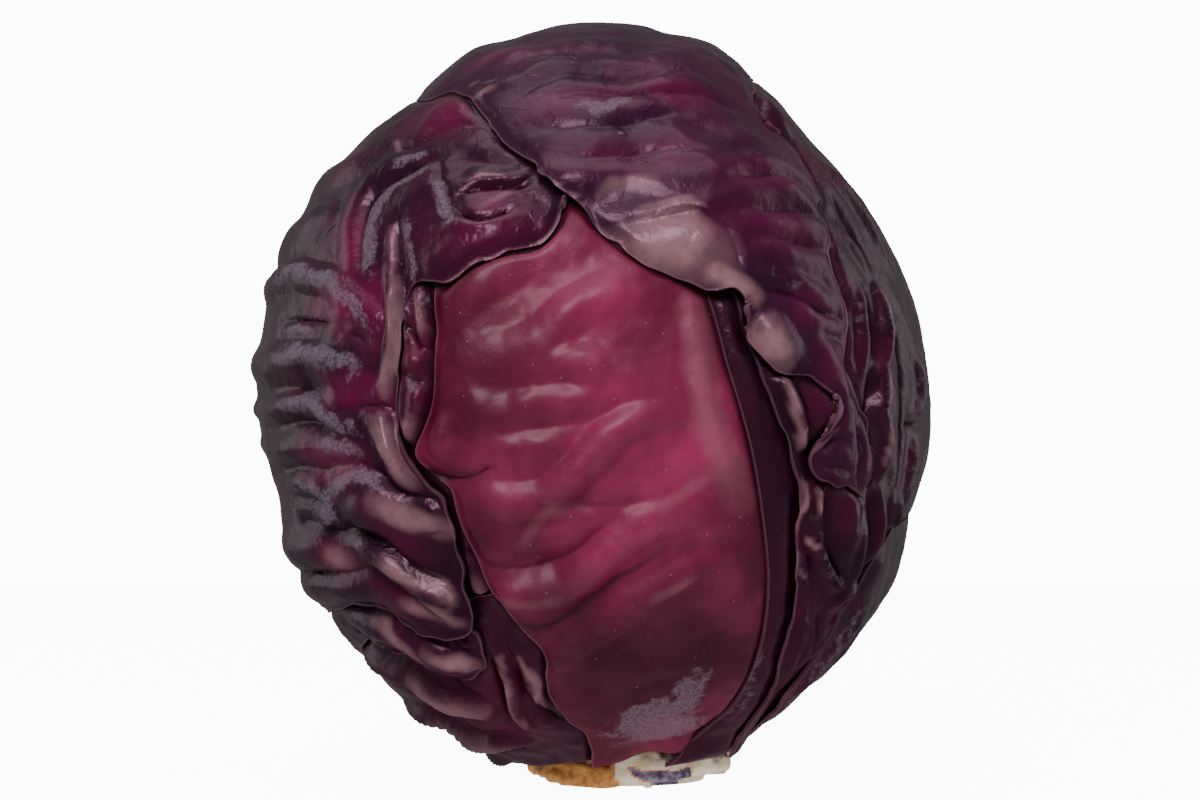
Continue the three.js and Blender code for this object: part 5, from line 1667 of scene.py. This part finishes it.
def leaf_finish(name, deep, warm, warmth, bloom_amount, gloss, crumple, damp, sheen):
    f = Finish(name)
    crest, cut, edge = f.attribute("crest"), f.attribute("cut"), f.attribute("edge")
    mottle = f.noise(22, 4.0, 0.6)
    patches = f.ramp(mottle, 0.42, 0.68)
    # Warm magenta where the skin is thin. The traced warm strokes also paint a glow in hollows and paint
    # the lit middle of the bare leaf brighter.
    warm_and_glow_mask = (patches * warmth + f.attribute("warm") * 0.85 * (0.6 + mottle * 0.6)).clamped()
    colour = f.mix(warm_and_glow_mask, deep, warm)
    colour = f.mix((f.attribute("shade") * 0.8).clamped(), colour, SHADE)
    speck = f.ramp(f.noise(0.5, 2.0, 0.6), 0.4, 0.58)
    dust = f.ramp(f.noise(6, 4.0, 0.65), 0.4, 0.62)
    fringe = f.noise(2.4, 4.0, 0.65)
    ridge_bloom = f.ramp(crest, 1.8, 3.6) * dust * bloom_amount
    gathered = f.attribute("gathered") * dust * bloom_amount
    # Grey wax bloom. On the traced strokes low on the bare leaf and on the leaves right of it this grey is
    # a painted reflection of the pale floor, and high on the bare leaf a painted sheen.
    traced_bloom_and_reflection = f.ramp(f.attribute("bloom_and_reflection") * 0.8 + (fringe - 0.5) * 1.3, 0.3, 0.62)
    bloom_and_reflection = ((ridge_bloom + gathered + traced_bloom_and_reflection * 0.9) * (0.35 + speck * 0.65)).clamped()
    colour = f.mix(bloom_and_reflection * BLOOM_AND_REFLECTION_COVER, colour, BLOOM_AND_REFLECTION)
    # Pale strokes are painted highlights along ridges, tubes and lips; on the top leaf they also cover
    # beige dry patches.
    pale = (f.attribute("pale") * (0.5 + fringe * 0.9)).clamped()
    colour = f.mix(pale * PALE_AND_HIGHLIGHT_COVER, colour, PALE_AND_HIGHLIGHT)
    colour = f.mix(f.ramp(f.attribute("rib"), 0.6, 2.4) * 0.5, colour, RIB)
    # A pale margin with a painted highlight on it, and painted highlights along the traced lips and curls.
    rims_and_highlights = ((1 - f.ramp(edge, 0.1, 0.45)) * 0.3 + f.attribute("rims_and_highlights") * 0.8).clamped()
    colour = f.mix(rims_and_highlights, colour, RIM_AND_HIGHLIGHT)
    # Painted shade in the creases and on the leaf just under an overlying margin.
    crease_and_contact_shade = (f.ramp(cut, 0.5, 1.5) * 0.85 + f.attribute("contact") * 0.75).clamped()
    colour = f.mix(crease_and_contact_shade, colour, CREASE_SHADE)
    drop_scale = 1 / (DROP_SPACING * MM)
    cells = f.node("ShaderNodeTexVoronoi", None, Vector=f.place, Scale=drop_scale, output="Distance")
    drops = (1 - f.ramp(cells, 0.05, 0.13)) * f.ramp(f.noise(5, 2.0), 0.54, 0.58) * damp
    # Water drops are pale specks: their pale colour is a painted glint.
    colour = f.mix(drops * 0.45, colour, PALE_AND_HIGHLIGHT)
    rough = gloss + bloom_and_reflection * 0.35 + f.noise(3, 2.0) * 0.14 - pale * 0.05 - drops * 0.2
    wrinkle = 1 - f.node("ShaderNodeMath", {"operation": "ABSOLUTE"}, f.noise(6.5, 3.0, 0.55, 0.4) * 2 - 1)
    pores = f.noise(0.9, 2.0, 0.6) * 0.22 + f.noise(3.4, 3.0) * 0.7
    grain = pores + f.ramp(wrinkle, 0.8, 1.0) * crumple + drops
    f.set(Base_Color=colour, Roughness=rough, Normal=f.bump(grain, 0.4, 0.35))
    f.set(Coat_Weight=0.07, Coat_Roughness=0.2, Specular_IOR_Level=0.38, Specular_Tint=sheen)
    return f.material


WINE_SHEEN = (1.0, 0.48, 0.72)
PINK_SHEEN = (1.0, 0.7, 0.8)
wrapper = leaf_finish(
    "wrapper_skin", deep=tint(38, 7, 30), warm=tint(102, 7, 58), warmth=0.25,
    bloom_amount=0.1, gloss=0.25, crumple=0.5, damp=0.15, sheen=WINE_SHEEN,
)
top_skin = leaf_finish(
    "top_skin", deep=tint(44, 11, 38), warm=tint(92, 12, 58), warmth=0.33,
    bloom_amount=0.05, gloss=0.28, crumple=0.4, damp=0.1, sheen=WINE_SHEEN,
)
bare_skin = leaf_finish(
    "bare_skin", deep=tint(86, 8, 40), warm=tint(160, 42, 90), warmth=0.4,
    bloom_amount=0.1, gloss=0.4, crumple=0.2, damp=0.9, sheen=PINK_SHEEN,
)
shaded_skin = leaf_finish(
    "shaded_skin", deep=tint(46, 9, 33), warm=tint(86, 10, 46), warmth=0.25,
    bloom_amount=0.12, gloss=0.28, crumple=0.35, damp=0.3, sheen=WINE_SHEEN,
)
SKIN_OF = {
    "leaf_centre": bare_skin,
    "leaf_inner_left": shaded_skin,
    "leaf_inner_right": shaded_skin,
    "leaf_foot_left": shaded_skin,
    "leaf_top": top_skin,
}
for name, piece in skins.items():
    piece.data.materials.clear()
    piece.data.materials.append(SKIN_OF.get(name, wrapper))
heart.data.materials.clear()
heart.data.materials.append(shaded_skin)
print("leaf finishes:", sorted({piece.data.materials[0].name for piece in skins.values()}))

# %% [markdown]
# The cut stem is pale and fibrous. Fresh stubs are cream, older cuts have dried to orange brown, and the
# bases of the leaves keep some pink or purple skin. The tone stored on the points picks between them.

# %% The stem finish
f = Finish("cut_stem")
tone = f.attribute("tone")
fibre = f.noise(1.6, 4.0, 0.65)
stain = f.noise(4.5, 4.0, 0.6, 0.6)
cream = f.mix(f.ramp(stain, 0.4, 0.7), tint(250, 236, 206), tint(236, 204, 156))
orange = f.mix(f.ramp(fibre, 0.35, 0.7), tint(232, 166, 90), tint(190, 112, 58))
pink = f.mix(f.ramp(fibre, 0.4, 0.7), tint(214, 104, 128), tint(226, 150, 150))
purple = f.mix(f.ramp(stain, 0.4, 0.6), tint(78, 50, 84), tint(150, 140, 160))
colour = f.mix(f.ramp(tone, 0.3, 0.5), cream, orange)
colour = f.mix(f.ramp(tone, 0.76, 0.84), colour, pink)
colour = f.mix(f.ramp(tone, 1.05, 1.2), colour, purple)
f.set(Base_Color=colour, Roughness=0.62 + fibre * 0.2, Normal=f.bump(fibre + stain * 0.6, 0.6, 0.5))
stem.data.materials.clear()
stem.data.materials.append(f.material)

# %% [markdown]
# The studio is plain: a pale floor, a pale surround and large soft lights. One light hangs above, the key
# stands high in front, and one stands on each side behind the head. The last one lies under the floor and
# shines up, as a white table throws light back. So the floor itself is kept out of reflections, soft
# light and shadows, and the light below isn't seen as a gloss. The surround looks white to the camera,
# but it lights the head only a little.

# %% Studio
FLOOR_SIZE = 1.6
FLOOR_PARTS = 8
FLOOR_GLOW = 10.5
ROOM_LIGHT = 0.2
ROOM_AS_SEEN = 12.0
HEAD = (-0.008, 0.0, 0.09)


def soft_light(name, place, size, height, power, target=HEAD):
    bpy.ops.object.light_add(type="AREA", location=place)
    light = bpy.context.object
    light.name = name
    light.data.shape = "RECTANGLE"
    light.data.size = size
    light.data.size_y = height
    light.data.energy = power
    toward = np.array(target) - np.array(place)
    light.rotation_euler = (math.atan2(math.hypot(toward[0], toward[1]), -toward[2]), 0,
                            math.atan2(toward[1], toward[0]) - math.pi / 2)
    return light


deselect()
bpy.ops.mesh.primitive_plane_add(size=FLOOR_SIZE, location=(0, 0, 0))
floor = bpy.context.object
floor.name = "floor"
edit_all(floor, lambda: bpy.ops.mesh.subdivide(number_cuts=FLOOR_PARTS))
paper = Finish("pale_paper")
paper.set(Base_Color=(0.93, 0.93, 0.93), Roughness=0.8)
paper.set(Emission_Color=(1.0, 1.0, 1.0), Emission_Strength=FLOOR_GLOW)
floor.data.materials.append(paper.material)
floor.visible_glossy = False
floor.visible_diffuse = False
floor.visible_shadow = False
soft_light("overhead", (-0.1, -0.1, 1.1), size=1.0, height=0.8, power=4.5)
soft_light("key", (-0.25, -0.95, 0.8), size=0.5, height=0.42, power=9.4)
soft_light("left_side", (-0.8, 0.3, 0.25), size=0.5, height=0.8, power=1.2)
soft_light("right_side", (0.8, 0.3, 0.25), size=0.5, height=0.8, power=1.2)
bounce = soft_light("bounce", (0.0, -0.1, -0.35), size=1.4, height=1.4, power=6.0)
bounce.visible_glossy = False

world = bpy.data.worlds.new("pale_room")
world.use_nodes = True
room = world.node_tree.nodes["Background"]
room.inputs["Color"].default_value = (1, 1, 1, 1)
sight = world.node_tree.nodes.new("ShaderNodeLightPath")
brightness = world.node_tree.nodes.new("ShaderNodeMapRange")
brightness.inputs["To Min"].default_value = ROOM_LIGHT
brightness.inputs["To Max"].default_value = ROOM_AS_SEEN
world.node_tree.links.new(sight.outputs["Is Camera Ray"], brightness.inputs["Value"])
world.node_tree.links.new(brightness.outputs["Result"], room.inputs["Strength"])
bpy.context.scene.world = world

# %% [markdown]
# At the end every piece is tied to the imported model: it rides on the one body that there is, and it takes
# the place of its plain node, which is hidden.

# %% Handing over
for name, piece in skins.items():
    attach(piece, "root")
    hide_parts(name)
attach(heart, "root")
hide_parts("heart")
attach(stem, "root")
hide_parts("stem")

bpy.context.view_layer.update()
